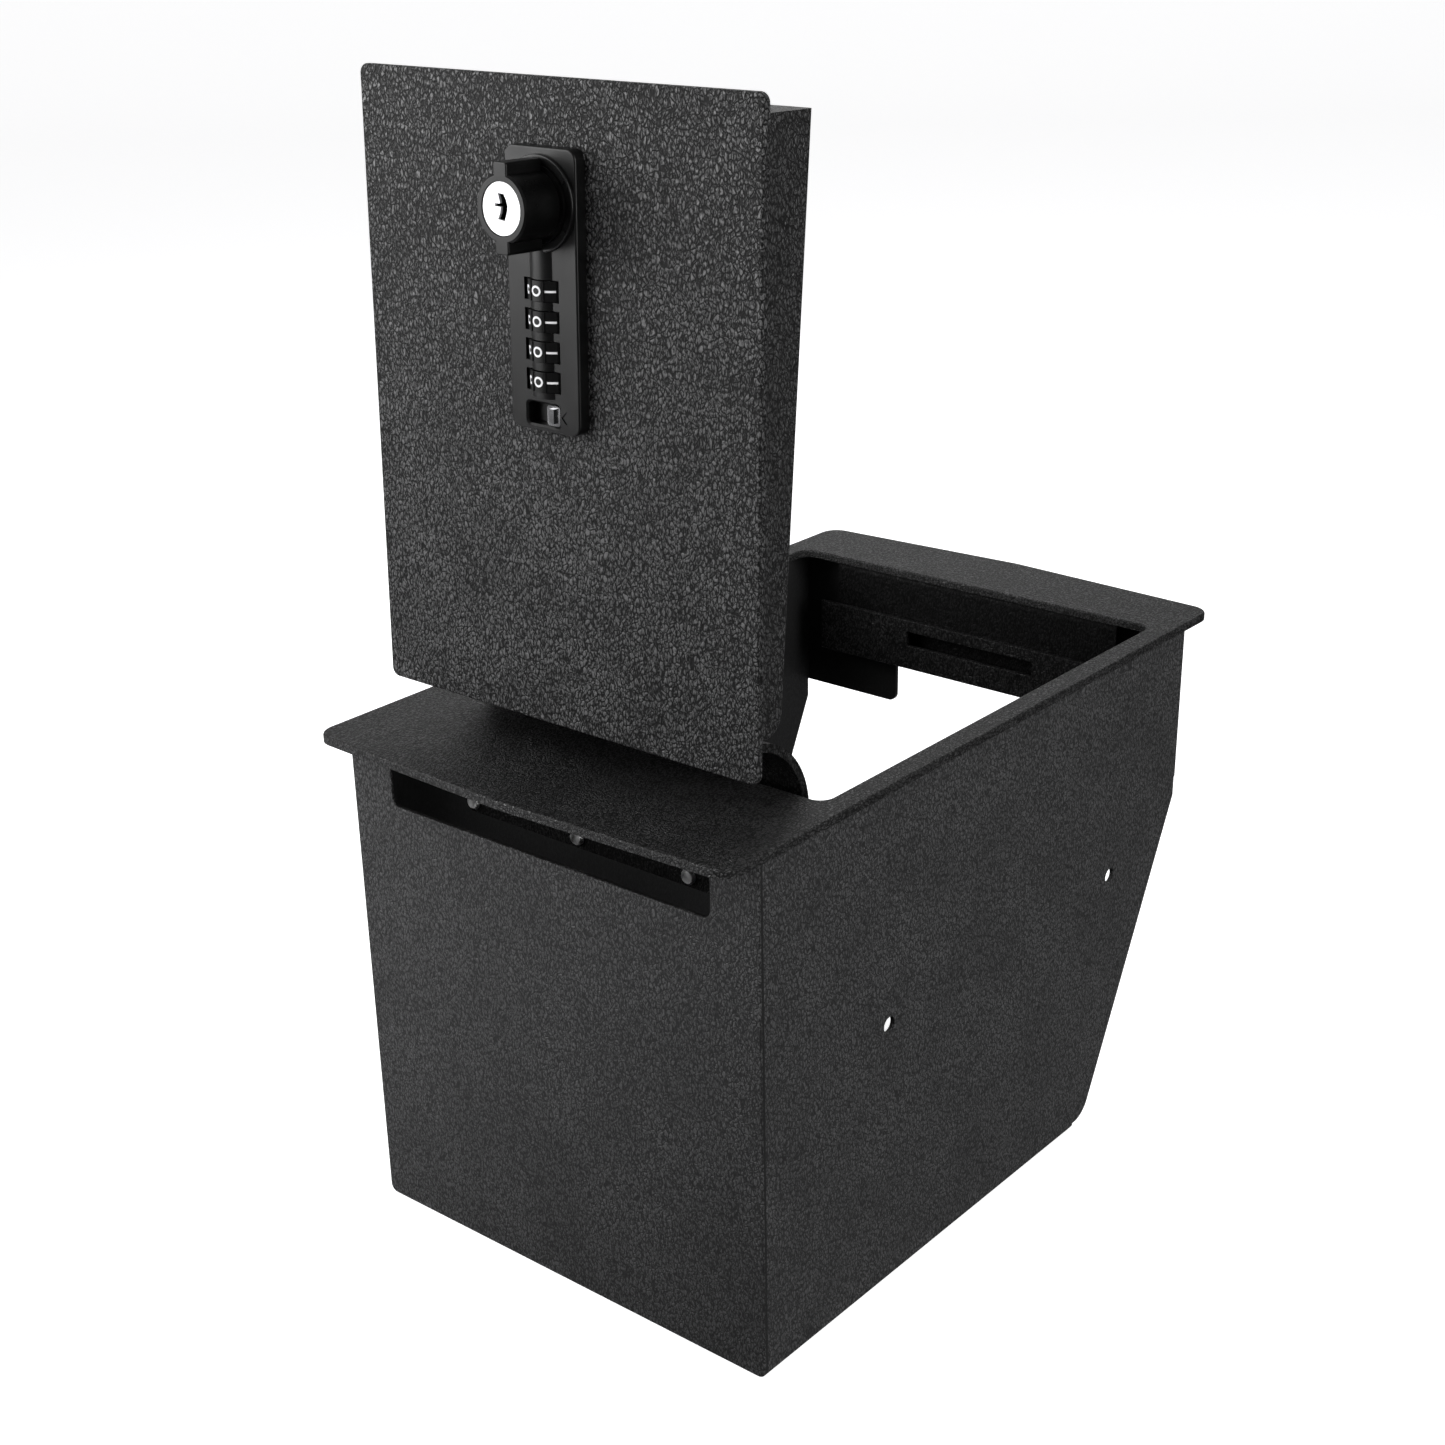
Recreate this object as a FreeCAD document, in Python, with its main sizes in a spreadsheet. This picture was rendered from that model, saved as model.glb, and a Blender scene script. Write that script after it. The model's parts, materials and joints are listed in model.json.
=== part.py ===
import FreeCAD, Part
import math
import os
import sys

import Sketcher
from FreeCAD import Placement, Rotation, Vector

# Locking steel insert for a vehicle's centre console, millimetres.
# +X is to the right, +Y runs from the hinge end to the latch end, +Z is up.
# Everything is drawn from the outer face of the hinge-end wall, with the lid closed. At the end
# the lid swings open, which is the rest pose, and all pieces move back so that the origin is at
# mid width and mid length of the rim, level with the underside of the floor.

DIMENSIONS = [
    # tub
    ("box_width", 210, "outside, over the side walls"),
    ("box_length", 302, "hinge-end wall to the latch-end tabs"),
    ("box_height", 223, "underside of the floor to the top of the flange"),
    ("sheet", 2, "wall sheet"),
    ("bend_radius", 3.5, "outside radius of the floor bends"),
    ("floor_length", 225, "where the floor and its bends stop"),
    ("slant_foot", 233.6, "foot of the slanted rear edge of a side wall"),
    ("slant_top", 140.8, "height where the slant ends"),
    ("foot_radius", 12, "rounding at the slant's foot"),
    ("tab_width", 55.8, "inward tab at the top rear of each side wall"),
    ("tab_bottom", 149.8, "height of the tab's lower edge"),
    ("bolt_hole", 3.5, "radius of the side bolt holes"),
    ("bolt_near", 79.4, "nearer bolt hole, from the hinge-end wall"),
    ("bolt_spacing", 166.3, "between the two holes of a side"),
    ("bolt_height", 120.7, "height of the side bolt holes"),
    ("slot_half", 82.3, "half width of the rivet access slot"),
    ("slot_bottom", 191.3, "lower edge of the access slot"),
    ("slot_top", 211.5, "upper edge of the access slot"),
    # flange
    ("plate", 3.4, "flange and lid plate, coated"),
    ("coat_edge", 0.9, "rounding the coat gives to plate edges"),
    ("sheet_edge", 0.5, "the same on the thinner sheet"),
    ("flange_side", 0.6, "flange past each side wall"),
    ("flange_near", 17.4, "flange past the hinge-end wall, at its corners"),
    ("near_bow", 4.1, "extra reach at mid width, hinge end"),
    ("flange_far", 21, "flange past the latch end, at its corners"),
    ("far_bow", 5.7, "extra reach at mid width, latch end"),
    ("flange_corner", 9, "outer corner radius of the flange"),
    ("mouth_half", 95, "half width of the opening"),
    ("mouth_near", 50, "hinge-end edge of the opening"),
    ("mouth_far", 287.3, "latch-end edge of the opening"),
    ("mouth_corner", 6, "corner radius of the opening"),
    # latch
    ("strike_face", 288, "front face of the strike plate"),
    ("strike_half", 86, "half width of the strike plate"),
    ("strike_bottom", 173.8, ""),
    ("strike_top", 198.3, ""),
    ("strike_slot_half", 35, "half width of the latch slot"),
    ("strike_slot_low", 185.6, ""),
    ("strike_slot_high", 192.5, ""),
    ("bracket_half", 76.8, "half width of the latch bracket"),
    ("bracket_bottom", 177, ""),
    ("bracket_depth", 10, "leg of the bracket under the flange"),
    ("bracket_gap", 1, "bracket cut-out past the latch slot, all round"),
    ("cover_sheet", 1.5, "cover behind the latch slot"),
    ("cover_half", 39, ""),
    ("cover_bottom", 181, ""),
    ("cover_top", 197, ""),
    ("cover_depth", 6.5, ""),
    # hinge
    ("axis_y", 24.5, "hinge axis"),
    ("axis_z", 212, "hinge axis"),
    ("open_angle", 88, "swing from closed to open"),
    ("pin_radius", 1.25, "hinge pin"),
    ("pin_play", 0.05, "radial clearance of the pin in the lid's knuckles"),
    ("knuckle_radius", 2.5, ""),
    ("leaf", 1.2, "hinge leaf sheet"),
    ("leaf_half", 60, "half length of the hinge"),
    ("leaf_drop", 22, "leaf below the hinge axis"),
    ("knuckle_pitch", 12, ""),
    ("knuckle_gap", 0.4, ""),
    ("knuckle_relief", 2.9, "leaf cut back past the other leaf's knuckles"),
    ("rail_left", -61, "hinge rail ends"),
    ("rail_right", 69, ""),
    ("rail_bottom", 188.8, ""),
    ("rail_depth", 16, "leg of the rail under the flange"),
    ("rivet_spacing", 56, ""),
    ("rivet_radius", 1.6, ""),
    ("rivet_play", 0.05, "hole over shank"),
    ("rail_rivet_collar", 0.7, "straight part of the domed head"),
    ("rail_rivet_dome", 1.9, "whole height of the domed head"),
    ("rail_rivet_tail", 0.9, ""),
    ("arm_rivet_head", 0.8, "height"),
    ("arm_rivet_tail", 1.4, "height"),
    ("rail_rivet_drop", 18.5, "rail rivets below the axis"),
    ("arm_rivet_drop", 13, "gooseneck rivets below the axis"),
    ("arm_rivet_spacing", 28, ""),
    ("arm_plate", 3.3, "gooseneck plate"),
    ("arm_radius", 36.75, "outer radius of the gooseneck, about the hinge axis"),
    ("arm_half", 80, "half width of the gooseneck"),
    # lid
    ("lid_side_gap", 2.15, "lid to opening, each side"),
    ("lid_end_gap", 2.75, "lid to opening, hinge end"),
    ("lid_length", 231.7, ""),
    ("lid_corner", 3.5, ""),
    ("pan_half", 88.2, "half width of the stiffening pan"),
    ("pan_wall", 1.5, ""),
    ("pan_near", 12.6, "pan from the lid's hinge end"),
    ("pan_far", 224.7, ""),
    ("pan_near_depth", 20.2, "from the lid's face to the pan's back, hinge end"),
    ("pan_far_depth", 31.4, "the same at the latch end"),
    ("pan_corner", 9, "rounded back corner, hinge end"),
    ("pan_edge", 2, "bend radius of the pan's long edges"),
    # lock, measured from the knob's axis
    ("knob_along", 190.9, "knob axis from the lid's hinge end"),
    ("face_half", 16.5, "half width of the lock's faceplate"),
    ("face_low", 78.4, "faceplate towards the hinge"),
    ("face_high", 18.6, "faceplate towards the latch end"),
    ("face_thick", 4.8, ""),
    ("face_corner", 4, ""),
    ("face_edge", 0.8, ""),
    ("boss_outer", 16.3, "raised ring round the knob"),
    ("boss_inner", 13.6, ""),
    ("boss_height", 1.5, ""),
    ("boss_edge", 0.5, "rounding of the ring's outer edge"),
    ("mark_height", 0.35, "two raised marks on the ring"),
    ("mark_half", 0.35, "half width of a mark"),
    ("mark_inset_inner", 0.3, "mark's end to the ring's inner edge"),
    ("mark_inset_outer", 0.7, "mark's end to the ring's outer edge"),
    ("arrow_tip", 7.7, "engraved arrow beside the slider window"),
    ("arrow_back", 10.7, ""),
    ("arrow_half", 2.2, "half height of the arrow"),
    ("arrow_stroke", 0.9, ""),
    ("arrow_depth", 0.4, ""),
    ("slider_bevel", 0.7, "chamfer round the slider window"),
    ("body_half", 12.5, "half width of the lock body behind the panel"),
    ("body_low", 76, ""),
    ("body_high", 13, ""),
    ("body_depth", 17, "body behind the panel's face"),
    ("body_corner", 1.5, ""),
    ("bridge_inset", 16, "clamp strap from the body's lower end"),
    ("bridge_width", 15, ""),
    ("bridge_gap", 2.5, "strap's legs beside the body"),
    ("screw_side", 8, "bridge screws off the centre line"),
    ("screw_radius", 1.5, ""),
    ("screw_play", 0.1, ""),
    ("screw_head", 2.8, "radius"),
    ("screw_head_height", 1.8, ""),
    ("cutout_gap", 0.2, "panel cut-out round the body"),
    ("dial_first", 29.05, "first dial from the knob's axis"),
    ("dial_pitch", 10.45, ""),
    ("dial_width", 7, ""),
    ("dial_radius", 9.3, "over the ridges"),
    ("dial_drum", 8.9, "between the ridges"),
    ("dial_ridge", 0.9, "width of a ridge"),
    ("dial_side", -0.4, "dial axis off the lock's centre line"),
    ("dial_sunk", 1.3, "dial axis below the panel's face"),
    ("dial_window", 8.2, "half width of a dial window"),
    ("dial_window_low", 3.8, "half height of a dial window"),
    ("dial_skin", 1.4, "faceplate skin over the dials"),
    ("shaft_radius", 2, ""),
    ("shaft_play", 0.05, ""),
    ("shaft_seat", 1.2, "shaft held in the lock body at each end"),
    ("shaft_end_gap", 0.3, "faceplate past the shaft's ends"),
    ("spring_half", 3.5, "half width of the detent spring"),
    ("spring_thick", 0.4, ""),
    ("spring_end_gap", 0.5, ""),
    ("rib_radius", 8.1, "rounded rib between the windows, about the dial axis"),
    ("rib_low", 66.4, "where the rib ends"),
    ("cavity_half", 9.8, "half width of the dial cavity"),
    ("cavity_floor", 11.5, "dial cavity below the panel's face"),
    ("slider_along", 72.4, "code slider from the knob's axis"),
    ("slider_window", 7.7, "half width of its window"),
    ("slider_window_low", 3.85, "half height of its window"),
    ("slider_offset", -1, "window centre off the centre line"),
    ("slider_long", 6.2, ""),
    ("slider_wide", 7.2, ""),
    ("slider_corner", 1.2, ""),
    ("slider_play", 0.2, "slider to the window's end"),
    ("slider_under", 0.05, "slider above the panel"),
    ("slider_step", 0.6, "shoe below, and grip above, the faceplate's front"),
    ("slider_grip_side", 2, "grip in from the shoe's ends"),
    ("slider_grip_end", 1, "grip in from the shoe's long edges"),
    ("knob_base", 13.3, "radius"),
    ("knob_barrel", 11.6, "radius"),
    ("knob_chamfer", 0.7, "front edge of the barrel"),
    ("knob_reach", 23.7, "knob's front above the lid's face"),
    ("knob_lift", 5, "knob's underside above the lid's face"),
    ("knob_base_height", 2.4, ""),
    ("wing_half", 15.2, "grip wings, half span"),
    ("wing_width", 6.1, ""),
    ("wing_edge", 1, ""),
    ("disc_radius", 8.8, "key disc"),
    ("disc_bore", 9.05, ""),
    ("disc_recess", 1.5, ""),
    ("disc_inset", 0.4, "disc's face below the knob's front"),
    ("plug_radius", 5.9, "key plug"),
    ("plug_bore", 5.95, ""),
    ("keyway_depth", 18, ""),
    ("plug_depth", 10.8, "plug's inner end below the panel's face"),
    ("plug_end_gap", 0.2, ""),
    ("spindle_radius", 7.95, ""),
    ("spindle_bore", 8, ""),
    ("tail_radius", 5.95, "spindle behind the lock body"),
    ("tail_bore", 6, ""),
    ("clip_thick", 1.5, ""),
    ("clip_radius", 10.5, ""),
    ("spacer_radius", 8.5, ""),
    ("spacer_play", 0.05, "spacer below the clip"),
    ("cam_depth", 32.2, "cam's near face below the lid's face"),
    ("cam_thick", 2.5, ""),
    ("cam_length", 51.3, "spindle axis to the cam's tip"),
    ("cam_width", 16, ""),
    ("cam_hub", 9, ""),
    ("cam_corner", 3, ""),
    ("hub_gap", 0.5, "hole in the pan round the hub"),
    ("nut_height", 4, ""),
    ("tail_past_cam", 5, ""),
]

DIAL_COUNT = 4
RIDGES_PER_DIAL = 10
RING_MARK_ANGLES = (-33, 33)
KNUCKLES_PER_LEAF = 5
NUT_SIDES = 6

# Rivet places along the hinge, as multiples of their spacing.
RAIL_RIVET_PLACES = (-1, 0, 1)
ARM_RIVET_PLACES = (-1.5, -0.5, 0.5, 1.5)

# How far a cut runs past the material, how far joined solids overlap, and how near an edge must
# be to a place to count as lying there.
PAST = "1"
OVERLAP = "0.1"
NEAR = 0.01

# Keyway outline from the key's axis: a curved slot with a short side groove.
KEYWAY = [
    (-1.6, 5.1), (1.2, 4.9), (2.3, 3.0), (2.9, 1.0), (2.5, -1.2), (1.4, -3.9), (-1.8, -3.6),
    (-0.7, -1.4), (-0.4, 0.6), (-3.0, 0.6), (-3.0, 1.7), (-0.7, 1.7), (-1.0, 3.2),
]

document = FreeCAD.newDocument("console_insert")
sheet = document.addObject("Spreadsheet::Sheet", "sizes")
for row, (alias, number, note) in enumerate(DIMENSIONS, start=1):
    sheet.set("A%d" % row, alias)
    sheet.set("B%d" % row, str(number))
    sheet.set("C%d" % row, note)
    sheet.setAlias("B%d" % row, alias)
document.recompute()


# Expressions that several sub-parts share.
WALL_X = "sizes.box_width / 2"
FLANGE_BOTTOM = "sizes.box_height - sizes.plate"
FACE = "sizes.box_height"
LID_HALF = "sizes.mouth_half - sizes.lid_side_gap"
LID_NEAR = "sizes.mouth_near + sizes.lid_end_gap"
LID_FAR = "sizes.mouth_near + sizes.lid_end_gap + sizes.lid_length"
KNOB_Y = "sizes.mouth_near + sizes.lid_end_gap + sizes.knob_along"
FACE_TOP = "sizes.box_height + sizes.face_thick"
DIAL_Z = "sizes.box_height - sizes.dial_sunk"
LAST_DIAL = "sizes.dial_first + %d * sizes.dial_pitch" % (DIAL_COUNT - 1)
TAIL_TOP = "sizes.box_height - sizes.body_depth"
CAM_TOP = "sizes.box_height - sizes.cam_depth"
SCREW_Y = "%s - (sizes.body_low - sizes.bridge_inset - sizes.bridge_width / 2)" % KNOB_Y
RIM_FAR = "sizes.box_length + sizes.flange_far + sizes.far_bow"
RIM_MIDDLE = "(%s - sizes.flange_near - sizes.near_bow) / 2" % RIM_FAR
RAIL_FACE = "sizes.axis_y - sizes.knuckle_radius - sizes.sheet"
ARM_FACE = "sizes.axis_y + sizes.knuckle_radius"


def value(expression):
    """The number an expression over the sheet gives."""
    return float(sheet.evalExpression(expression))


def plus(*terms):
    return " + ".join("(%s)" % term for term in terms)


def minus(first, second):
    return "(%s) - (%s)" % (first, second)


def negative(term):
    return "-(%s)" % term


# Sketches: every corner and centre is a constraint bound to the sheet.
def sketch_on(body, name, plane, offset):
    sketch = body.newObject("Sketcher::SketchObject", name)
    origin_plane = [item for item in body.Origin.OriginFeatures if item.Role == plane][0]
    sketch.AttachmentSupport = (origin_plane, [""])
    sketch.MapMode = "FlatFace"
    sketch.setExpression("AttachmentOffset.Base.z", offset)
    return sketch


def fix_point(sketch, geometry, point, across, along):
    for kind, expression in (("DistanceX", across), ("DistanceY", along)):
        constraint = Sketcher.Constraint(kind, -1, 1, geometry, point, value(expression))
        index = sketch.addConstraint(constraint)
        sketch.setExpression("Constraints[%d]" % index, expression)


def polygon(*corners):
    def draw(sketch):
        start = sketch.GeometryCount
        points = [Vector(value(across), value(along), 0) for across, along in corners]
        following = points[1:] + points[:1]
        for here, there in zip(points, following):
            sketch.addGeometry(Part.LineSegment(here, there))
        for step in range(len(corners)):
            after = start + (step + 1) % len(corners)
            sketch.addConstraint(Sketcher.Constraint("Coincident", start + step, 2, after, 1))
        for step, (across, along) in enumerate(corners):
            fix_point(sketch, start + step, 1, across, along)
    return draw


def rectangle(low_across, low_along, high_across, high_along):
    return polygon(
        (low_across, low_along),
        (high_across, low_along),
        (high_across, high_along),
        (low_across, high_along),
    )


def circle(across, along, radius):
    def draw(sketch):
        centre = Vector(value(across), value(along), 0)
        geometry = sketch.addGeometry(Part.Circle(centre, Vector(0, 0, 1), value(radius)))
        fix_point(sketch, geometry, 3, across, along)
        index = sketch.addConstraint(Sketcher.Constraint("Radius", geometry, value(radius)))
        sketch.setExpression("Constraints[%d]" % index, radius)
    return draw


# Features: a pad or a pocket fills or clears the space from low to high on the plane's axis.
def new_body(label):
    body = document.addObject("PartDesign::Body", label)
    body.Label = label
    return body


def pad(body, name, plane, low, high, *outlines):
    # The XZ plane faces -Y, so its pads start at the high end.
    offset = negative(high) if plane == "XZ_Plane" else low
    sketch = sketch_on(body, name + "_sketch", plane, offset)
    for draw in outlines:
        draw(sketch)
    feature = body.newObject("PartDesign::Pad", name)
    feature.Profile = sketch
    feature.setExpression("Length", minus(high, low))
    document.recompute()
    return feature


def pocket(body, name, plane, low, high, *outlines):
    before = body.Tip.Shape.Volume
    offset = negative(low) if plane == "XZ_Plane" else high
    sketch = sketch_on(body, name + "_sketch", plane, offset)
    for draw in outlines:
        draw(sketch)
    feature = body.newObject("PartDesign::Pocket", name)
    feature.Profile = sketch
    feature.setExpression("Length", minus(high, low))
    document.recompute()
    if body.Tip.Shape.Volume >= before:
        sys.exit("%s of %s removed nothing" % (name, body.Label))
    return feature


def round_edges(body, name, radius, chosen):
    base = body.Tip
    edges = ["Edge%d" % number for number, edge in enumerate(base.Shape.Edges, start=1) if chosen(edge)]
    if not edges:
        sys.exit("%s of %s found no edges" % (name, body.Label))
    fillet = body.newObject("PartDesign::Fillet", name)
    fillet.Base = (base, edges)
    fillet.setExpression("Radius", radius)
    document.recompute()
    return fillet


def chamfer_edges(body, name, size, chosen):
    base = body.Tip
    edges = ["Edge%d" % number for number, edge in enumerate(base.Shape.Edges, start=1) if chosen(edge)]
    if not edges:
        sys.exit("%s of %s found no edges" % (name, body.Label))
    chamfer = body.newObject("PartDesign::Chamfer", name)
    chamfer.Base = (base, edges)
    chamfer.setExpression("Size", size)
    document.recompute()
    return chamfer


def round_edge_at(radius, height):
    """A test for full circles of a radius at a height."""
    def chosen(edge):
        return (edge.Curve.TypeId == "Part::GeomCircle"
                and abs(edge.Curve.Radius - value(radius)) < NEAR
                and abs(edge.CenterOfMass.z - value(height)) < NEAR)
    return chosen


def edges_in_plane(axis, *heights):
    """A test for edges that lie wholly in a plane across an axis."""
    wanted = [value(height) for height in heights]

    def chosen(edge):
        places = [getattr(vertex.Point, axis) for vertex in edge.Vertexes]
        return any(all(abs(place - height) < NEAR for place in places) for height in wanted)
    return chosen


def edge_at(direction, **limits):
    """A test for straight edges along an axis whose middle is at the given coordinates."""
    axis = {"x": Vector(1, 0, 0), "y": Vector(0, 1, 0), "z": Vector(0, 0, 1)}[direction]
    wanted = {name: [value(item) for item in items] for name, items in limits.items()}

    def chosen(edge):
        if edge.Curve.TypeId != "Part::GeomLine" or abs(edge.Curve.Direction * axis) < 0.999:
            return False
        middle = edge.CenterOfMass
        for name, options in wanted.items():
            place = getattr(middle, name)
            if min(abs(place - option) for option in options) > NEAR:
                return False
        return True
    return chosen


# Plain Part pieces for fasteners: an axis, then cylinders stacked along it.
def turned(start, direction, steps):
    """A solid of stacked cylinders, each (from, to, radius) along the direction."""
    solid = None
    for low, high, radius in steps:
        base = start + direction * low
        cylinder = Part.makeCylinder(radius, high - low, base, direction)
        solid = cylinder if solid is None else solid.fuse(cylinder)
    return solid.removeSplitter()


def placed_shape(label, shape):
    feature = document.addObject("Part::Feature", label)
    feature.Label = label
    feature.Shape = shape
    return feature


# ---------------------------------------------------------------- tub
def make_tub_shell():
    """Floor and side walls from one bent sheet, with a tab turned in at the top rear of each."""
    body = new_body("tub_shell")
    pad(body, "blank", "XZ_Plane", "sizes.sheet", "sizes.box_length",
        rectangle(negative(WALL_X), "0", WALL_X, FLANGE_BOTTOM))
    round_edges(body, "outer_bends", "sizes.bend_radius",
                edge_at("y", x=[WALL_X, negative(WALL_X)], z=["0"]))
    inner_x = minus(WALL_X, "sizes.sheet")
    pocket(body, "hollow", "XZ_Plane", "0", "sizes.box_length + sizes.sheet",
           rectangle(negative(inner_x), "sizes.sheet", inner_x, plus(FLANGE_BOTTOM, PAST)))
    round_edges(body, "inner_bends", "sizes.bend_radius - sizes.sheet",
                edge_at("y", x=[inner_x, negative(inner_x)], z=["sizes.sheet"]))
    past_end = "sizes.box_length + sizes.sheet"
    tab_step = "sizes.box_length - 1.25 * sizes.sheet"
    pocket(body, "slant", "YZ_Plane", minus(negative(WALL_X), PAST), plus(WALL_X, PAST),
           polygon(("sizes.floor_length", negative(PAST)),
                   ("sizes.floor_length", "sizes.bend_radius"),
                   ("sizes.slant_foot", "sizes.bend_radius"),
                   (tab_step, "sizes.slant_top"),
                   (tab_step, "sizes.tab_bottom"),
                   (past_end, "sizes.tab_bottom"),
                   (past_end, negative(PAST))))
    round_edges(body, "foot_rounding", "sizes.foot_radius",
                edge_at("x", y=["sizes.slant_foot"], z=["sizes.bend_radius"]))
    tab_end = minus(WALL_X, "sizes.tab_width")
    tab_start = "sizes.box_length - sizes.sheet"
    pad(body, "tabs", "XZ_Plane", tab_start, "sizes.box_length",
        rectangle(negative(WALL_X), "sizes.tab_bottom", negative(tab_end), FLANGE_BOTTOM),
        rectangle(tab_end, "sizes.tab_bottom", WALL_X, FLANGE_BOTTOM))
    round_edges(body, "tab_corners", "2 * sizes.sheet",
                edge_at("y", x=[tab_end, negative(tab_end)], z=["sizes.tab_bottom"]))
    round_edges(body, "tab_bends", "1.25 * sizes.sheet",
                edge_at("z", x=[WALL_X, negative(WALL_X)], y=["sizes.box_length"]))
    far_hole = "sizes.bolt_near + sizes.bolt_spacing"
    pocket(body, "bolt_holes", "YZ_Plane", minus(negative(WALL_X), PAST), plus(WALL_X, PAST),
           circle("sizes.bolt_near", "sizes.bolt_height", "sizes.bolt_hole"),
           circle(far_hole, "sizes.bolt_height", "sizes.bolt_hole"))
    return body


def make_front_wall():
    """Hinge-end wall, with the slot that lets a tool reach the hinge rivets."""
    body = new_body("front_wall")
    pad(body, "sheet_blank", "XZ_Plane", "0", "sizes.sheet",
        rectangle(negative(WALL_X), "0", WALL_X, FLANGE_BOTTOM))
    round_edges(body, "bottom_corners", "sizes.bend_radius",
                edge_at("y", x=[WALL_X, negative(WALL_X)], z=["0"]))
    pocket(body, "access_slot", "XZ_Plane", negative(PAST), plus("sizes.sheet", PAST),
           rectangle("-sizes.slot_half", "sizes.slot_bottom", "sizes.slot_half", "sizes.slot_top"))
    round_edges(body, "slot_corners", "2 * sizes.sheet",
                edge_at("y", x=["sizes.slot_half", "-sizes.slot_half"],
                        z=["sizes.slot_bottom", "sizes.slot_top"]))
    round_edges(body, "seam_edges", "sizes.sheet_edge", edges_in_plane("y", "0"))
    return body


def make_top_flange():
    """Flat rim plate: narrow along the sides, wide and slightly bowed at both ends."""
    body = new_body("top_flange")
    side = plus(WALL_X, "sizes.flange_side")
    near = "-sizes.flange_near"
    far = "sizes.box_length + sizes.flange_far"
    pad(body, "rim", "XY_Plane", FLANGE_BOTTOM, FACE,
        polygon((negative(side), near),
                ("0", "-sizes.flange_near - sizes.near_bow"),
                (side, near),
                (side, far),
                ("0", plus(far, "sizes.far_bow")),
                (negative(side), far)))
    round_edges(body, "rim_corners", "sizes.flange_corner",
                edge_at("z", x=[side, negative(side)]))
    pocket(body, "mouth", "XY_Plane", minus(FLANGE_BOTTOM, PAST), plus(FACE, PAST),
           rectangle("-sizes.mouth_half", "sizes.mouth_near", "sizes.mouth_half", "sizes.mouth_far"))
    round_edges(body, "mouth_corners", "sizes.mouth_corner",
                edge_at("z", x=["sizes.mouth_half", "-sizes.mouth_half"]))
    round_edges(body, "top_edges", "sizes.coat_edge", edges_in_plane("z", FACE))
    return body


def make_latch_bracket():
    """Angle under the flange that carries the strike plate."""
    body = new_body("latch_bracket")
    front = "sizes.strike_face + sizes.sheet"
    back = plus(front, "sizes.sheet")
    pad(body, "angle", "YZ_Plane", "-sizes.bracket_half", "sizes.bracket_half",
        polygon((front, "sizes.bracket_bottom"),
                (back, "sizes.bracket_bottom"),
                (back, minus(FLANGE_BOTTOM, "sizes.sheet")),
                (plus(front, "sizes.bracket_depth"), minus(FLANGE_BOTTOM, "sizes.sheet")),
                (plus(front, "sizes.bracket_depth"), FLANGE_BOTTOM),
                (front, FLANGE_BOTTOM)))
    round_edges(body, "outer_bend", "sizes.bend_radius",
                edge_at("x", y=[front], z=[FLANGE_BOTTOM]))
    round_edges(body, "inner_bend", "sizes.bend_radius - sizes.sheet",
                edge_at("x", y=[back], z=[minus(FLANGE_BOTTOM, "sizes.sheet")]))
    pocket(body, "cam_clearance", "XZ_Plane", minus(front, PAST), plus(back, PAST),
           rectangle("-sizes.strike_slot_half - sizes.bracket_gap",
                     "sizes.strike_slot_low - sizes.bracket_gap",
                     "sizes.strike_slot_half + sizes.bracket_gap",
                     "sizes.strike_slot_high + sizes.bracket_gap"))
    return body


def make_strike_plate():
    """Lower plate whose slot takes the latch cam."""
    body = new_body("strike_plate")
    back = "sizes.strike_face + sizes.sheet"
    pad(body, "strip", "XZ_Plane", "sizes.strike_face", back,
        rectangle("-sizes.strike_half", "sizes.strike_bottom", "sizes.strike_half", "sizes.strike_top"))
    pocket(body, "latch_slot", "XZ_Plane", minus("sizes.strike_face", PAST), plus(back, PAST),
           rectangle("-sizes.strike_slot_half", "sizes.strike_slot_low",
                     "sizes.strike_slot_half", "sizes.strike_slot_high"))
    round_edges(body, "front_edges", "sizes.sheet_edge", edges_in_plane("y", "sizes.strike_face"))
    return body


def make_latch_cover():
    """Pressed cover that closes the latch slot from behind and leaves room for the cam."""
    body = new_body("latch_cover")
    front = "sizes.strike_face + 2 * sizes.sheet"
    back = plus(front, "sizes.cover_depth")
    pad(body, "shell", "XZ_Plane", front, back,
        rectangle("-sizes.cover_half", "sizes.cover_bottom", "sizes.cover_half", "sizes.cover_top"))
    round_edges(body, "shell_edges", "sizes.cover_sheet", edges_in_plane("y", back))
    pocket(body, "cam_room", "XZ_Plane", minus(front, PAST), minus(back, "sizes.cover_sheet"),
           rectangle("-sizes.cover_half + sizes.cover_sheet", "sizes.cover_bottom + sizes.cover_sheet",
                     "sizes.cover_half - sizes.cover_sheet", "sizes.cover_top - sizes.cover_sheet"))
    return body


# ---------------------------------------------------------------- hinge
def rivet_circles(height, radius):
    return [circle("%d * sizes.rivet_spacing" % place, height, radius) for place in RAIL_RIVET_PLACES]


def arm_rivet_circles(height, radius):
    return [circle("%s * sizes.arm_rivet_spacing" % place, height, radius)
            for place in ARM_RIVET_PLACES]


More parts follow.
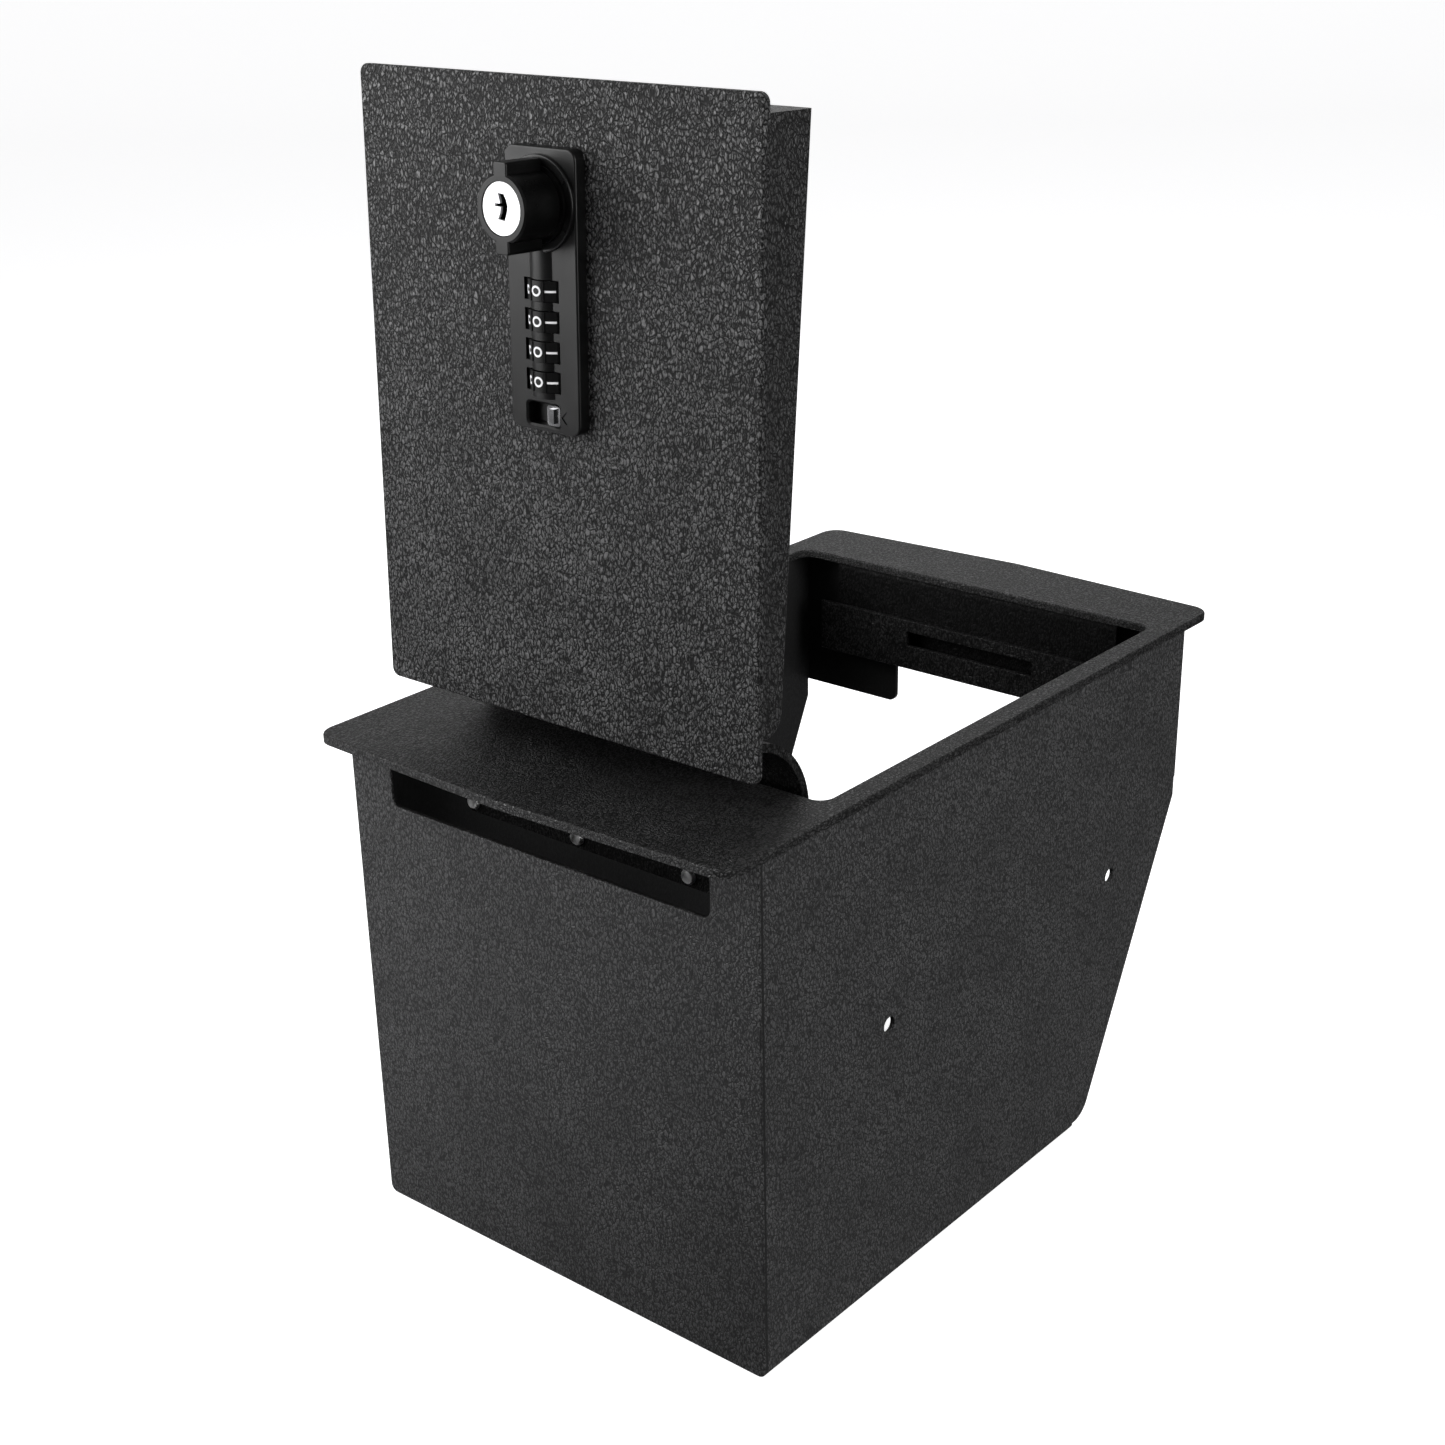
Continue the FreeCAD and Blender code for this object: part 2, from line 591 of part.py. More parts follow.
def make_hinge_rail():
    """Angle under the flange that the hinge's fixed leaf is riveted to."""
    body = new_body("hinge_rail")
    back = plus(RAIL_FACE, "sizes.sheet")
    pad(body, "angle", "YZ_Plane", "sizes.rail_left", "sizes.rail_right",
        polygon((RAIL_FACE, "sizes.rail_bottom"),
                (back, "sizes.rail_bottom"),
                (back, FLANGE_BOTTOM),
                (minus(back, "sizes.rail_depth"), FLANGE_BOTTOM),
                (minus(back, "sizes.rail_depth"), minus(FLANGE_BOTTOM, "sizes.sheet")),
                (RAIL_FACE, minus(FLANGE_BOTTOM, "sizes.sheet"))))
    round_edges(body, "lower_corners", "2 * sizes.sheet",
                edge_at("y", x=["sizes.rail_left", "sizes.rail_right"], z=["sizes.rail_bottom"]))
    hole = "sizes.rivet_radius + sizes.rivet_play"
    pocket(body, "rivet_holes", "XZ_Plane", minus(RAIL_FACE, PAST), plus(back, PAST),
           *rivet_circles("sizes.axis_z - sizes.rail_rivet_drop", hole))
    return body


def make_leaf(label, side, first_knuckle, bore, rivet_holes):
    """Hinge leaf: a strip beside the axis, with knuckles at every second place.

    side is -1 for the leaf towards the wall and +1 for the leaf towards the mouth.
    """
    body = new_body(label)
    outer = "sizes.axis_y + %d * sizes.knuckle_radius" % side
    inner = "sizes.axis_y + %d * (sizes.knuckle_radius - sizes.leaf)" % side
    low, high = (outer, inner) if side < 0 else (inner, outer)
    bottom = "sizes.axis_z - sizes.leaf_drop"
    relief = "sizes.axis_z - sizes.knuckle_relief"
    start = "-sizes.leaf_half + %d * sizes.knuckle_pitch + sizes.knuckle_gap / 2" % first_knuckle
    end = plus(start, "sizes.knuckle_pitch - sizes.knuckle_gap")
    pad(body, "strip", "XZ_Plane", low, high,
        rectangle("-sizes.leaf_half", bottom, "sizes.leaf_half", relief))
    stem = pad(body, "stem", "XZ_Plane", low, high,
               rectangle(start, minus(relief, OVERLAP), end, "sizes.axis_z"))
    barrel = pad(body, "barrel", "YZ_Plane", start, end,
                 circle("sizes.axis_y", "sizes.axis_z", "sizes.knuckle_radius"))
    pattern = body.newObject("PartDesign::LinearPattern", "knuckles")
    pattern.Originals = [stem, barrel]
    x_axis = [item for item in body.Origin.OriginFeatures if item.Role == "X_Axis"][0]
    pattern.Direction = (x_axis, [""])
    pattern.Occurrences = KNUCKLES_PER_LEAF
    pattern.setExpression("Length", "%d * sizes.knuckle_pitch" % (2 * KNUCKLES_PER_LEAF - 2))
    body.Tip = pattern
    document.recompute()
    pocket(body, "pin_bore", "YZ_Plane", minus("-sizes.leaf_half", PAST), plus("sizes.leaf_half", PAST),
           circle("sizes.axis_y", "sizes.axis_z", bore))
    pocket(body, "rivet_holes", "XZ_Plane", minus(low, OVERLAP), plus(high, OVERLAP), *rivet_holes)
    return body


def make_hinge_leaves():
    hole = "sizes.rivet_radius + sizes.rivet_play"
    fixed = make_leaf("hinge_leaf_fixed", -1, 0, "sizes.pin_radius",
                      rivet_circles("sizes.axis_z - sizes.rail_rivet_drop", hole))
    moving = make_leaf("hinge_leaf_lid", 1, 1, "sizes.pin_radius + sizes.pin_play",
                       arm_rivet_circles("sizes.axis_z - sizes.arm_rivet_drop", hole))
    return fixed, moving


def make_hinge_pin():
    pin = document.addObject("Part::Cylinder", "hinge_pin")
    pin.Label = "hinge_pin"
    pin.setExpression("Radius", "sizes.pin_radius")
    pin.setExpression("Height", "2 * sizes.leaf_half")
    start = Vector(-value("sizes.leaf_half"), value("sizes.axis_y"), value("sizes.axis_z"))
    pin.Placement = Placement(start, Rotation(Vector(0, 1, 0), 90))
    return pin


def make_gooseneck():
    """Curved arm from the hinge, under the flange's edge, to the underside of the lid.

    Its curved part is concentric with the hinge, so it clears the flange at every angle.
    """
    def box(name, low, high):
        block = document.addObject("Part::Box", name)
        for size, start, stop in zip(("Length", "Width", "Height"), low, high):
            block.setExpression(size, minus(stop, start))
        for place, start in zip("xyz", low):
            block.setExpression("Placement.Base." + place, start)
        return block

    def cylinder(name, radius):
        drum = document.addObject("Part::Cylinder", name)
        drum.setExpression("Radius", radius)
        drum.setExpression("Height", "2 * sizes.arm_half")
        drum.setExpression("Placement.Base.x", "-sizes.arm_half")
        drum.setExpression("Placement.Base.y", "sizes.axis_y")
        drum.setExpression("Placement.Base.z", "sizes.axis_z")
        drum.Placement.Rotation = Rotation(Vector(0, 1, 0), 90)
        return drum

    def combine(kind, name, base, tool):
        result = document.addObject(kind, name)
        result.Base = base
        result.Tool = tool
        return result

    ring = combine("Part::Cut", "arm_ring",
                   cylinder("arm_outer", "sizes.arm_radius"),
                   cylinder("arm_inner", "sizes.arm_radius - sizes.arm_plate"))
    quarter = box("arm_quarter",
                  ("-sizes.arm_half", ARM_FACE, minus("sizes.axis_z - sizes.arm_radius", PAST)),
                  ("sizes.arm_half", plus("sizes.axis_y + sizes.arm_radius", PAST), FLANGE_BOTTOM))
    curve = combine("Part::Common", "arm_curve", ring, quarter)
    web = box("arm_web",
              ("-sizes.arm_half", ARM_FACE, "sizes.axis_z - sizes.arm_radius + sizes.arm_plate / 2"),
              ("sizes.arm_half", plus(ARM_FACE, "sizes.arm_plate"), "sizes.axis_z"))
    blank = combine("Part::Fuse", "arm_blank", curve, web)
    document.recompute()
    height = value("sizes.axis_z - sizes.arm_rivet_drop")
    radius = value("sizes.rivet_radius + sizes.rivet_play")
    first = value(minus(ARM_FACE, PAST))
    reach = value(plus("sizes.arm_plate", PAST, PAST))
    drills = []
    for place in ARM_RIVET_PLACES:
        start = Vector(place * value("sizes.arm_rivet_spacing"), first, height)
        drills.append(Part.makeCylinder(radius, reach, start, Vector(0, 1, 0)))
    holes = placed_shape("arm_drills", Part.makeCompound(drills))
    arm = combine("Part::Cut", "gooseneck", blank, holes)
    arm.Label = "gooseneck"
    document.recompute()
    return arm


def make_rail_rivets():
    """Three blind rivets, domed towards the hinge-end wall."""
    face = value(RAIL_FACE)
    grip = value("sizes.sheet + sizes.leaf")
    radius = value("sizes.rivet_radius")
    head = 2 * radius
    height = value("sizes.axis_z - sizes.rail_rivet_drop")
    collar = value("sizes.rail_rivet_collar")
    crown = value("sizes.rail_rivet_dome")
    rivets = []
    for place in RAIL_RIVET_PLACES:
        start = Vector(place * value("sizes.rivet_spacing"), face, height)
        body = turned(start, Vector(0, 1, 0), [
            (-collar, 0, head),
            (0, grip, radius),
            (grip, grip + value("sizes.rail_rivet_tail"), 1.5 * radius),
        ])
        dome = Part.makeSphere(head, start, Vector(0, -1, 0), 0, 90, 360)
        cap = Part.makeCylinder(head, crown - collar, start - Vector(0, crown, 0), Vector(0, 1, 0))
        rivets.append(body.fuse(dome.common(cap)).removeSplitter())
    return placed_shape("rail_rivets", Part.makeCompound(rivets))


def make_arm_rivets():
    """Four rivets that hold the lid's hinge leaf to the gooseneck."""
    low = value("sizes.axis_y + sizes.knuckle_radius - sizes.leaf")
    grip = value("sizes.leaf + sizes.arm_plate")
    radius = value("sizes.rivet_radius")
    height = value("sizes.axis_z - sizes.arm_rivet_drop")
    rivets = []
    for place in ARM_RIVET_PLACES:
        start = Vector(place * value("sizes.arm_rivet_spacing"), low, height)
        rivets.append(turned(start, Vector(0, 1, 0), [
            (-value("sizes.arm_rivet_head"), 0, 1.5 * radius),
            (0, grip, radius),
            (grip, grip + value("sizes.arm_rivet_tail"), 1.8 * radius),
        ]))
    return placed_shape("arm_rivets", Part.makeCompound(rivets))


# ---------------------------------------------------------------- lid
def make_lid_plate():
    body = new_body("lid_plate")
    pad(body, "panel", "XY_Plane", FLANGE_BOTTOM, FACE,
        rectangle(negative(LID_HALF), LID_NEAR, LID_HALF, LID_FAR))
    round_edges(body, "panel_corners", "sizes.lid_corner",
                edge_at("z", x=[LID_HALF, negative(LID_HALF)]))
    half = "sizes.body_half + sizes.cutout_gap"
    pocket(body, "lock_cutout", "XY_Plane", minus(FLANGE_BOTTOM, PAST), plus(FACE, PAST),
           rectangle(negative(half), minus(KNOB_Y, "sizes.body_low + sizes.cutout_gap"),
                     half, plus(KNOB_Y, "sizes.body_high + sizes.cutout_gap")))
    outline = value(LID_HALF) - value("sizes.lid_corner")
    on_face = edges_in_plane("z", FACE, FLANGE_BOTTOM)

    def outer_edge(edge):
        place = edge.CenterOfMass
        near_end = place.y < value(LID_NEAR) + value("sizes.lid_corner")
        far_end = place.y > value(LID_FAR) - value("sizes.lid_corner")
        return on_face(edge) and (abs(place.x) > outline or near_end or far_end)
    round_edges(body, "panel_edges", "sizes.coat_edge", outer_edge)
    return body


def make_lid_pan():
    """Stiffening pan behind the lid plate, deeper towards the lock."""
    body = new_body("lid_pan")
    near = plus(LID_NEAR, "sizes.pan_near")
    far = plus(LID_NEAR, "sizes.pan_far")
    near_back = minus(FACE, "sizes.pan_near_depth")
    far_back = minus(FACE, "sizes.pan_far_depth")
    pad(body, "tray", "YZ_Plane", "-sizes.pan_half", "sizes.pan_half",
        polygon((near, FLANGE_BOTTOM), (near, near_back), (far, far_back), (far, FLANGE_BOTTOM)))
    round_edges(body, "back_corner", "sizes.pan_corner", edge_at("x", y=[near], z=[near_back]))

    slope = (value(near_back) - value(far_back)) / (value(far) - value(near))

    def long_back_edge(edge):
        run = edge.Vertexes[-1].Point - edge.Vertexes[0].Point
        return abs(run.y) > NEAR and abs(abs(run.z / run.y) - slope) < NEAR
    round_edges(body, "long_edges", "sizes.pan_edge", long_back_edge)
    wall = "sizes.pan_wall"
    inside = [(plus(near, wall), plus(FLANGE_BOTTOM, PAST)),
              (plus(near, wall), plus(near_back, "sizes.pan_corner")),
              (plus(near, "sizes.pan_corner"), plus(near_back, wall)),
              (minus(far, wall), plus(far_back, wall)),
              (minus(far, wall), plus(FLANGE_BOTTOM, PAST))]
    pocket(body, "tray_inside", "YZ_Plane", plus("-sizes.pan_half", wall), minus("sizes.pan_half", wall),
           polygon(*inside))
    pocket(body, "spindle_hole", "XY_Plane", minus(far_back, PAST), FLANGE_BOTTOM,
           circle("0", KNOB_Y, "sizes.cam_hub + sizes.hub_gap"))
    return body


# ---------------------------------------------------------------- lock
def dial_centre(number):
    """Dial position along the lid, as an expression; number 0 is nearest the knob."""
    return minus(KNOB_Y, "sizes.dial_first + %d * sizes.dial_pitch" % number)


def dial_bay(margin):
    """The strip of the lock that holds the dials, as (low, high) expressions."""
    low = minus(KNOB_Y, plus(LAST_DIAL, "sizes.dial_pitch / 2", margin))
    high = minus(KNOB_Y, minus("sizes.dial_first - sizes.dial_pitch / 2", margin))
    return low, high


def ring_mark(angle):
    """Outline of a short radial bar on the ring round the knob, at an angle from +X."""
    turn = math.radians(angle)
    outward = (math.cos(turn), math.sin(turn))
    sideways = (-math.sin(turn), math.cos(turn))
    inner = "(sizes.boss_inner + sizes.mark_inset_inner)"
    outer = "(sizes.boss_outer - sizes.mark_inset_outer)"
    corners = []
    for radius, side in ((inner, -1), (outer, -1), (outer, 1), (inner, 1)):
        across = "%s * %.6f + sizes.mark_half * %.6f" % (radius, outward[0], side * sideways[0])
        along = "%s * %.6f + sizes.mark_half * %.6f" % (radius, outward[1], side * sideways[1])
        corners.append((across, plus(KNOB_Y, along)))
    return polygon(*corners)


def make_lock_faceplate():
    """Cast front of the lock: ring round the knob, rounded rib, dial windows, slider window."""
    body = new_body("lock_faceplate")
    low = minus(KNOB_Y, "sizes.face_low")
    high = plus(KNOB_Y, "sizes.face_high")
    pad(body, "face", "XY_Plane", FACE, FACE_TOP,
        rectangle("-sizes.face_half", low, "sizes.face_half", high))
    round_edges(body, "face_corners", "sizes.face_corner",
                edge_at("z", x=["sizes.face_half", "-sizes.face_half"]))
    top = value(FACE_TOP)
    round_edges(body, "face_edge", "sizes.face_edge",
                lambda edge: all(abs(vertex.Z - top) < NEAR for vertex in edge.Vertexes))
    rib_start = minus(KNOB_Y, "sizes.rib_low")
    rib_end = minus(KNOB_Y, "(sizes.boss_inner + sizes.boss_outer) / 2")
    pad(body, "rib", "XZ_Plane", rib_start, rib_end, circle("sizes.dial_side", DIAL_Z, "sizes.rib_radius"))
    pad(body, "boss", "XY_Plane", FACE, plus(FACE_TOP, "sizes.boss_height"),
        circle("0", KNOB_Y, "sizes.boss_outer"))
    boss_top = plus(FACE_TOP, "sizes.boss_height")
    round_edges(body, "boss_edge", "sizes.boss_edge", round_edge_at("sizes.boss_outer", boss_top))
    marks = [ring_mark(angle) for angle in RING_MARK_ANGLES]
    pad(body, "ring_marks", "XY_Plane", minus(boss_top, OVERLAP), plus(boss_top, "sizes.mark_height"),
        *marks)
    pocket(body, "flat_back", "XY_Plane", minus(DIAL_Z, plus("sizes.rib_radius", PAST)), FACE,
           rectangle(minus("-sizes.face_half", PAST), minus(low, PAST),
                     plus("sizes.face_half", PAST), plus(high, PAST)))
    pocket(body, "knob_recess", "XY_Plane", FACE_TOP, plus(boss_top, PAST),
           circle("0", KNOB_Y, "sizes.boss_inner"))
    pocket(body, "spindle_hole", "XY_Plane", minus(FACE, PAST), plus(FACE_TOP, PAST),
           circle("0", KNOB_Y, "sizes.spindle_bore"))
    bay_low, bay_high = dial_bay("sizes.shaft_seat + sizes.shaft_end_gap")
    pocket(body, "dial_room", "XY_Plane", minus(FACE, PAST), minus(FACE_TOP, "sizes.dial_skin"),
           rectangle("sizes.dial_side - sizes.cavity_half", bay_low,
                     "sizes.dial_side + sizes.cavity_half", bay_high))
    windows = []
    for number in range(DIAL_COUNT):
        middle = dial_centre(number)
        windows.append(rectangle("sizes.dial_side - sizes.dial_window",
                                 minus(middle, "sizes.dial_window_low"),
                                 "sizes.dial_side + sizes.dial_window",
                                 plus(middle, "sizes.dial_window_low")))
    pocket(body, "dial_windows", "XY_Plane", FACE, plus(FACE_TOP, "sizes.rib_radius"), *windows)
    slider = minus(KNOB_Y, "sizes.slider_along")
    pocket(body, "arrow", "XY_Plane", minus(FACE_TOP, "sizes.arrow_depth"), plus(FACE_TOP, PAST),
           polygon(("sizes.arrow_tip", slider),
                   ("sizes.arrow_back - sizes.arrow_stroke", plus(slider, "sizes.arrow_half")),
                   ("sizes.arrow_back", plus(slider, "sizes.arrow_half")),
                   ("sizes.arrow_tip + 1.4 * sizes.arrow_stroke", slider),
                   ("sizes.arrow_back", minus(slider, "sizes.arrow_half")),
                   ("sizes.arrow_back - sizes.arrow_stroke", minus(slider, "sizes.arrow_half"))))
    pocket(body, "slider_window", "XY_Plane", minus(FACE, PAST), plus(FACE_TOP, PAST),
           rectangle("sizes.slider_offset - sizes.slider_window", minus(slider, "sizes.slider_window_low"),
                     "sizes.slider_offset + sizes.slider_window", plus(slider, "sizes.slider_window_low")))
    round_edges(body, "slider_window_corners", "sizes.slider_corner",
                edge_at("z", x=["sizes.slider_offset - sizes.slider_window",
                                "sizes.slider_offset + sizes.slider_window"]))
    middle_y = value(slider)
    reach_y = value(plus("sizes.slider_window_low", OVERLAP))
    reach_x = value(minus("sizes.arrow_tip", OVERLAP))

    def window_rim(edge):
        on_top = all(abs(vertex.Z - top) < NEAR for vertex in edge.Vertexes)
        place = edge.CenterOfMass
        return on_top and abs(place.y - middle_y) < reach_y and abs(place.x) < reach_x
    chamfer_edges(body, "slider_window_bevel", "sizes.slider_bevel", window_rim)
    return body


def make_lock_housing():
    """Lock body behind the panel, with the dial cavity and the spindle bore."""
    body = new_body("lock_housing")
    pad(body, "block", "XY_Plane", TAIL_TOP, FACE,
        rectangle("-sizes.body_half", minus(KNOB_Y, "sizes.body_low"),
                  "sizes.body_half", plus(KNOB_Y, "sizes.body_high")))
    round_edges(body, "block_corners", "sizes.body_corner",
                edge_at("z", x=["sizes.body_half", "-sizes.body_half"]))
    bay_low, bay_high = dial_bay("0")
    pocket(body, "dial_cavity", "XY_Plane", minus(FACE, "sizes.cavity_floor"), plus(FACE, PAST),
           rectangle("sizes.dial_side - sizes.cavity_half", bay_low,
                     "sizes.dial_side + sizes.cavity_half", bay_high))
    shaft_low, shaft_high = dial_bay("sizes.shaft_seat")
    pocket(body, "shaft_seats", "XZ_Plane", shaft_low, shaft_high,
           circle("sizes.dial_side", DIAL_Z, "sizes.shaft_radius"))
    pocket(body, "spindle_bore", "XY_Plane", minus(TAIL_TOP, PAST), plus(FACE, PAST),
           circle("0", KNOB_Y, "sizes.spindle_bore"))
    return body


def make_lock_bridge():
    """Bent strap behind the panel that clamps the lock to it."""
    body = new_body("lock_bridge")
    low = minus(KNOB_Y, "sizes.body_low - sizes.bridge_inset")
    high = plus(low, "sizes.bridge_width")
    inner = "sizes.body_half + sizes.bridge_gap"
    outer = plus(inner, "sizes.sheet")
    web_low = minus(TAIL_TOP, "sizes.sheet")
    pad(body, "strap", "XZ_Plane", low, high,
        polygon((negative(outer), web_low), (outer, web_low), (outer, FLANGE_BOTTOM),
                (inner, FLANGE_BOTTOM), (inner, TAIL_TOP), (negative(inner), TAIL_TOP),
                (negative(inner), FLANGE_BOTTOM), (negative(outer), FLANGE_BOTTOM)))
    round_edges(body, "strap_bends", "sizes.sheet",
                edge_at("y", x=[outer, negative(outer)], z=[web_low]))
    hole = "sizes.screw_radius + sizes.screw_play"
    pocket(body, "screw_holes", "XY_Plane", minus(web_low, PAST), plus(TAIL_TOP, PAST),
           circle("-sizes.screw_side", SCREW_Y, hole), circle("sizes.screw_side", SCREW_Y, hole))
    return body


def make_lock_screws():
    """Two screws through the bridge into the lock body's floor."""
    thickness = value("sizes.sheet")
    screws = []
    for side in (-1, 1):
        start = Vector(side * value("sizes.screw_side"), value(SCREW_Y), value(TAIL_TOP))
        screws.append(turned(start, Vector(0, 0, -1), [
            (0, thickness, value("sizes.screw_radius")),
            (thickness, thickness + value("sizes.screw_head_height"), value("sizes.screw_head")),
        ]))
    return placed_shape("lock_screws", Part.makeCompound(screws))


def make_dial_shaft():
    body = new_body("dial_shaft")
    low, high = dial_bay("sizes.shaft_seat")
    pad(body, "rod", "XZ_Plane", low, high, circle("sizes.dial_side", DIAL_Z, "sizes.shaft_radius"))
    return body


def make_dial_spring():
    """Flat detent spring under the dials."""
    body = new_body("dial_spring")
    low, high = dial_bay("-sizes.spring_end_gap")
    floor = minus(FACE, "sizes.cavity_floor")
    pad(body, "strip", "XY_Plane", floor, plus(floor, "sizes.spring_thick"),
        rectangle("sizes.dial_side - sizes.spring_half", low,
                  "sizes.dial_side + sizes.spring_half", high))
    return body


def make_dial_wheel(number):
    """Digit wheel with a thumb ridge between neighbouring digits; drawn at the origin."""
    body = new_body("dial_wheel_%d" % (number + 1))
    half = "sizes.dial_width / 2"
    pad(body, "drum", "XZ_Plane", negative(half), half, circle("0", "0", "sizes.dial_drum"))
    ridge = pad(body, "ridge", "XZ_Plane", negative(half), half,
                rectangle("-sizes.dial_ridge / 2", minus("sizes.dial_drum", OVERLAP),
                          "sizes.dial_ridge / 2", "sizes.dial_radius"))
    pattern = body.newObject("PartDesign::PolarPattern", "ridges")
    pattern.Originals = [ridge]
    y_axis = [item for item in body.Origin.OriginFeatures if item.Role == "Y_Axis"][0]
    pattern.Axis = (y_axis, [""])
    pattern.Angle = 360
    pattern.Occurrences = RIDGES_PER_DIAL
    body.Tip = pattern
    document.recompute()
    pocket(body, "shaft_bore", "XZ_Plane", minus(negative(half), PAST), plus(half, PAST),
           circle("0", "0", "sizes.shaft_radius + sizes.shaft_play"))
    half_pitch = Rotation(Vector(0, 1, 0), 180 / RIDGES_PER_DIAL)
    centre = Vector(value("sizes.dial_side"), value(dial_centre(number)), value(DIAL_Z))
    body.Placement = Placement(centre, half_pitch)
    return body


def make_code_slider():
    """Small slide that frees the code for changing."""
    body = new_body("code_slider")
    middle = minus(KNOB_Y, "sizes.slider_along")
    right = "sizes.slider_offset + sizes.slider_window - sizes.slider_play"
    shoe_top = minus(FACE_TOP, "sizes.slider_step")
    pad(body, "shoe", "XY_Plane", plus(FACE, "sizes.slider_under"), shoe_top,
        rectangle(minus(right, "sizes.slider_long"), minus(middle, "sizes.slider_wide / 2"),
                  right, plus(middle, "sizes.slider_wide / 2")))
    round_edges(body, "shoe_corners", "sizes.slider_corner",
                edge_at("z", x=[right, minus(right, "sizes.slider_long")]))
    grip_half = "sizes.slider_wide / 2 - sizes.slider_grip_end"
    pad(body, "grip", "XY_Plane", minus(shoe_top, OVERLAP), plus(FACE_TOP, "sizes.slider_step"),
        rectangle(minus(right, "sizes.slider_long - sizes.slider_grip_side"), minus(middle, grip_half),
                  minus(right, "sizes.slider_grip_side"), plus(middle, grip_half)))
    return body


# ---------------------------------------------------------------- knob, cam and key
def make_knob():
    """Knob with two grip wings; the key disc sits in its front."""
    body = new_body("knob")
    bottom = plus(FACE, "sizes.knob_lift")
    shoulder = plus(bottom, "sizes.knob_base_height")
    front = plus(FACE, "sizes.knob_reach")
    pad(body, "base", "XY_Plane", bottom, shoulder, circle("0", KNOB_Y, "sizes.knob_base"))
    pad(body, "barrel", "XY_Plane", bottom, front, circle("0", KNOB_Y, "sizes.knob_barrel"))
    chamfer_edges(body, "front_edge", "sizes.knob_chamfer", round_edge_at("sizes.knob_barrel", front))
    pad(body, "wings", "XY_Plane", shoulder, front,
        rectangle("-sizes.wing_width / 2", minus(KNOB_Y, "sizes.wing_half"),
                  "sizes.wing_width / 2", plus(KNOB_Y, "sizes.wing_half")))
    round_edges(body, "wing_edges", "sizes.wing_edge",
                edge_at("z", x=["sizes.wing_width / 2", "-sizes.wing_width / 2"],
                        y=[minus(KNOB_Y, "sizes.wing_half"), plus(KNOB_Y, "sizes.wing_half")]))
    wing_reach = value("sizes.knob_barrel")

    def wing_front(edge):
        place = edge.CenterOfMass
        away = math.hypot(place.x, place.y - value(KNOB_Y))
        return edges_in_plane("z", front)(edge) and away > wing_reach
    round_edges(body, "wing_fronts", "sizes.sheet_edge", wing_front)
    pocket(body, "disc_seat", "XY_Plane", minus(front, "sizes.disc_recess"), plus(front, PAST),
           circle("0", KNOB_Y, "sizes.disc_bore"))
    pocket(body, "plug_bore", "XY_Plane", minus(bottom, PAST), front,
           circle("0", KNOB_Y, "sizes.plug_bore"))
    return body


def make_cam_spindle():
    """Spindle from the knob, through the lock body, to the cam."""
    body = new_body("cam_spindle")
    top = plus(FACE, "sizes.knob_lift")
    pad(body, "neck", "XY_Plane", TAIL_TOP, top, circle("0", KNOB_Y, "sizes.spindle_radius"))
    pad(body, "tail", "XY_Plane", minus(CAM_TOP, "sizes.cam_thick + sizes.tail_past_cam"), TAIL_TOP,
        circle("0", KNOB_Y, "sizes.tail_radius"))
    pocket(body, "plug_bore", "XY_Plane",
           minus(FACE, "sizes.plug_depth + sizes.plug_end_gap"), plus(top, PAST),
           circle("0", KNOB_Y, "sizes.plug_bore"))
    return body


def make_ring(label, low, high, outer):
    body = new_body(label)
    pad(body, "ring", "XY_Plane", low, high,
        circle("0", KNOB_Y, outer), circle("0", KNOB_Y, "sizes.tail_bore"))
    return body


def make_spindle_clip():
    """Washer that keeps the spindle in the lock body."""
    return make_ring("spindle_clip", minus(TAIL_TOP, "sizes.clip_thick"), TAIL_TOP, "sizes.clip_radius")


def make_cam_spacer():
    """Sleeve that sets the cam's height."""
    top = minus(TAIL_TOP, "sizes.clip_thick + sizes.spacer_play")
    return make_ring("cam_spacer", CAM_TOP, top, "sizes.spacer_radius")


def make_latch_cam():
    """Flat latch lever; at rest it points sideways, clear of the strike plate."""
    body = new_body("latch_cam")
    low = minus(CAM_TOP, "sizes.cam_thick")
    tip = "-sizes.cam_length"
    pad(body, "hub", "XY_Plane", low, CAM_TOP, circle("0", KNOB_Y, "sizes.cam_hub"))
    pad(body, "lever", "XY_Plane", low, CAM_TOP,
        rectangle(tip, minus(KNOB_Y, "sizes.cam_width / 2"), "0", plus(KNOB_Y, "sizes.cam_width / 2")))
    round_edges(body, "tip_corners", "sizes.cam_corner", edge_at("z", x=[tip]))
    pocket(body, "spindle_hole", "XY_Plane", minus(low, PAST), plus(CAM_TOP, PAST),
           circle("0", KNOB_Y, "sizes.tail_bore"))
    return body


def make_cam_nut():
    body = new_body("cam_nut")
    top = minus(CAM_TOP, "sizes.cam_thick")
    corner = value("sizes.cam_hub")
    corners = []
    for step in range(NUT_SIDES):
        turn = math.radians(360 / NUT_SIDES * step)
        corners.append(("%.6f" % (corner * math.cos(turn)),
                        plus(KNOB_Y, "%.6f" % (corner * math.sin(turn)))))
    bottom = minus(top, "sizes.nut_height")
    pad(body, "hexagon", "XY_Plane", bottom, top, polygon(*corners))
    pocket(body, "thread", "XY_Plane", minus(bottom, PAST), plus(top, PAST),
           circle("0", KNOB_Y, "sizes.tail_bore"))
    return body


def keyway():
    return polygon(*[(str(across), plus(KNOB_Y, str(along))) for across, along in KEYWAY])


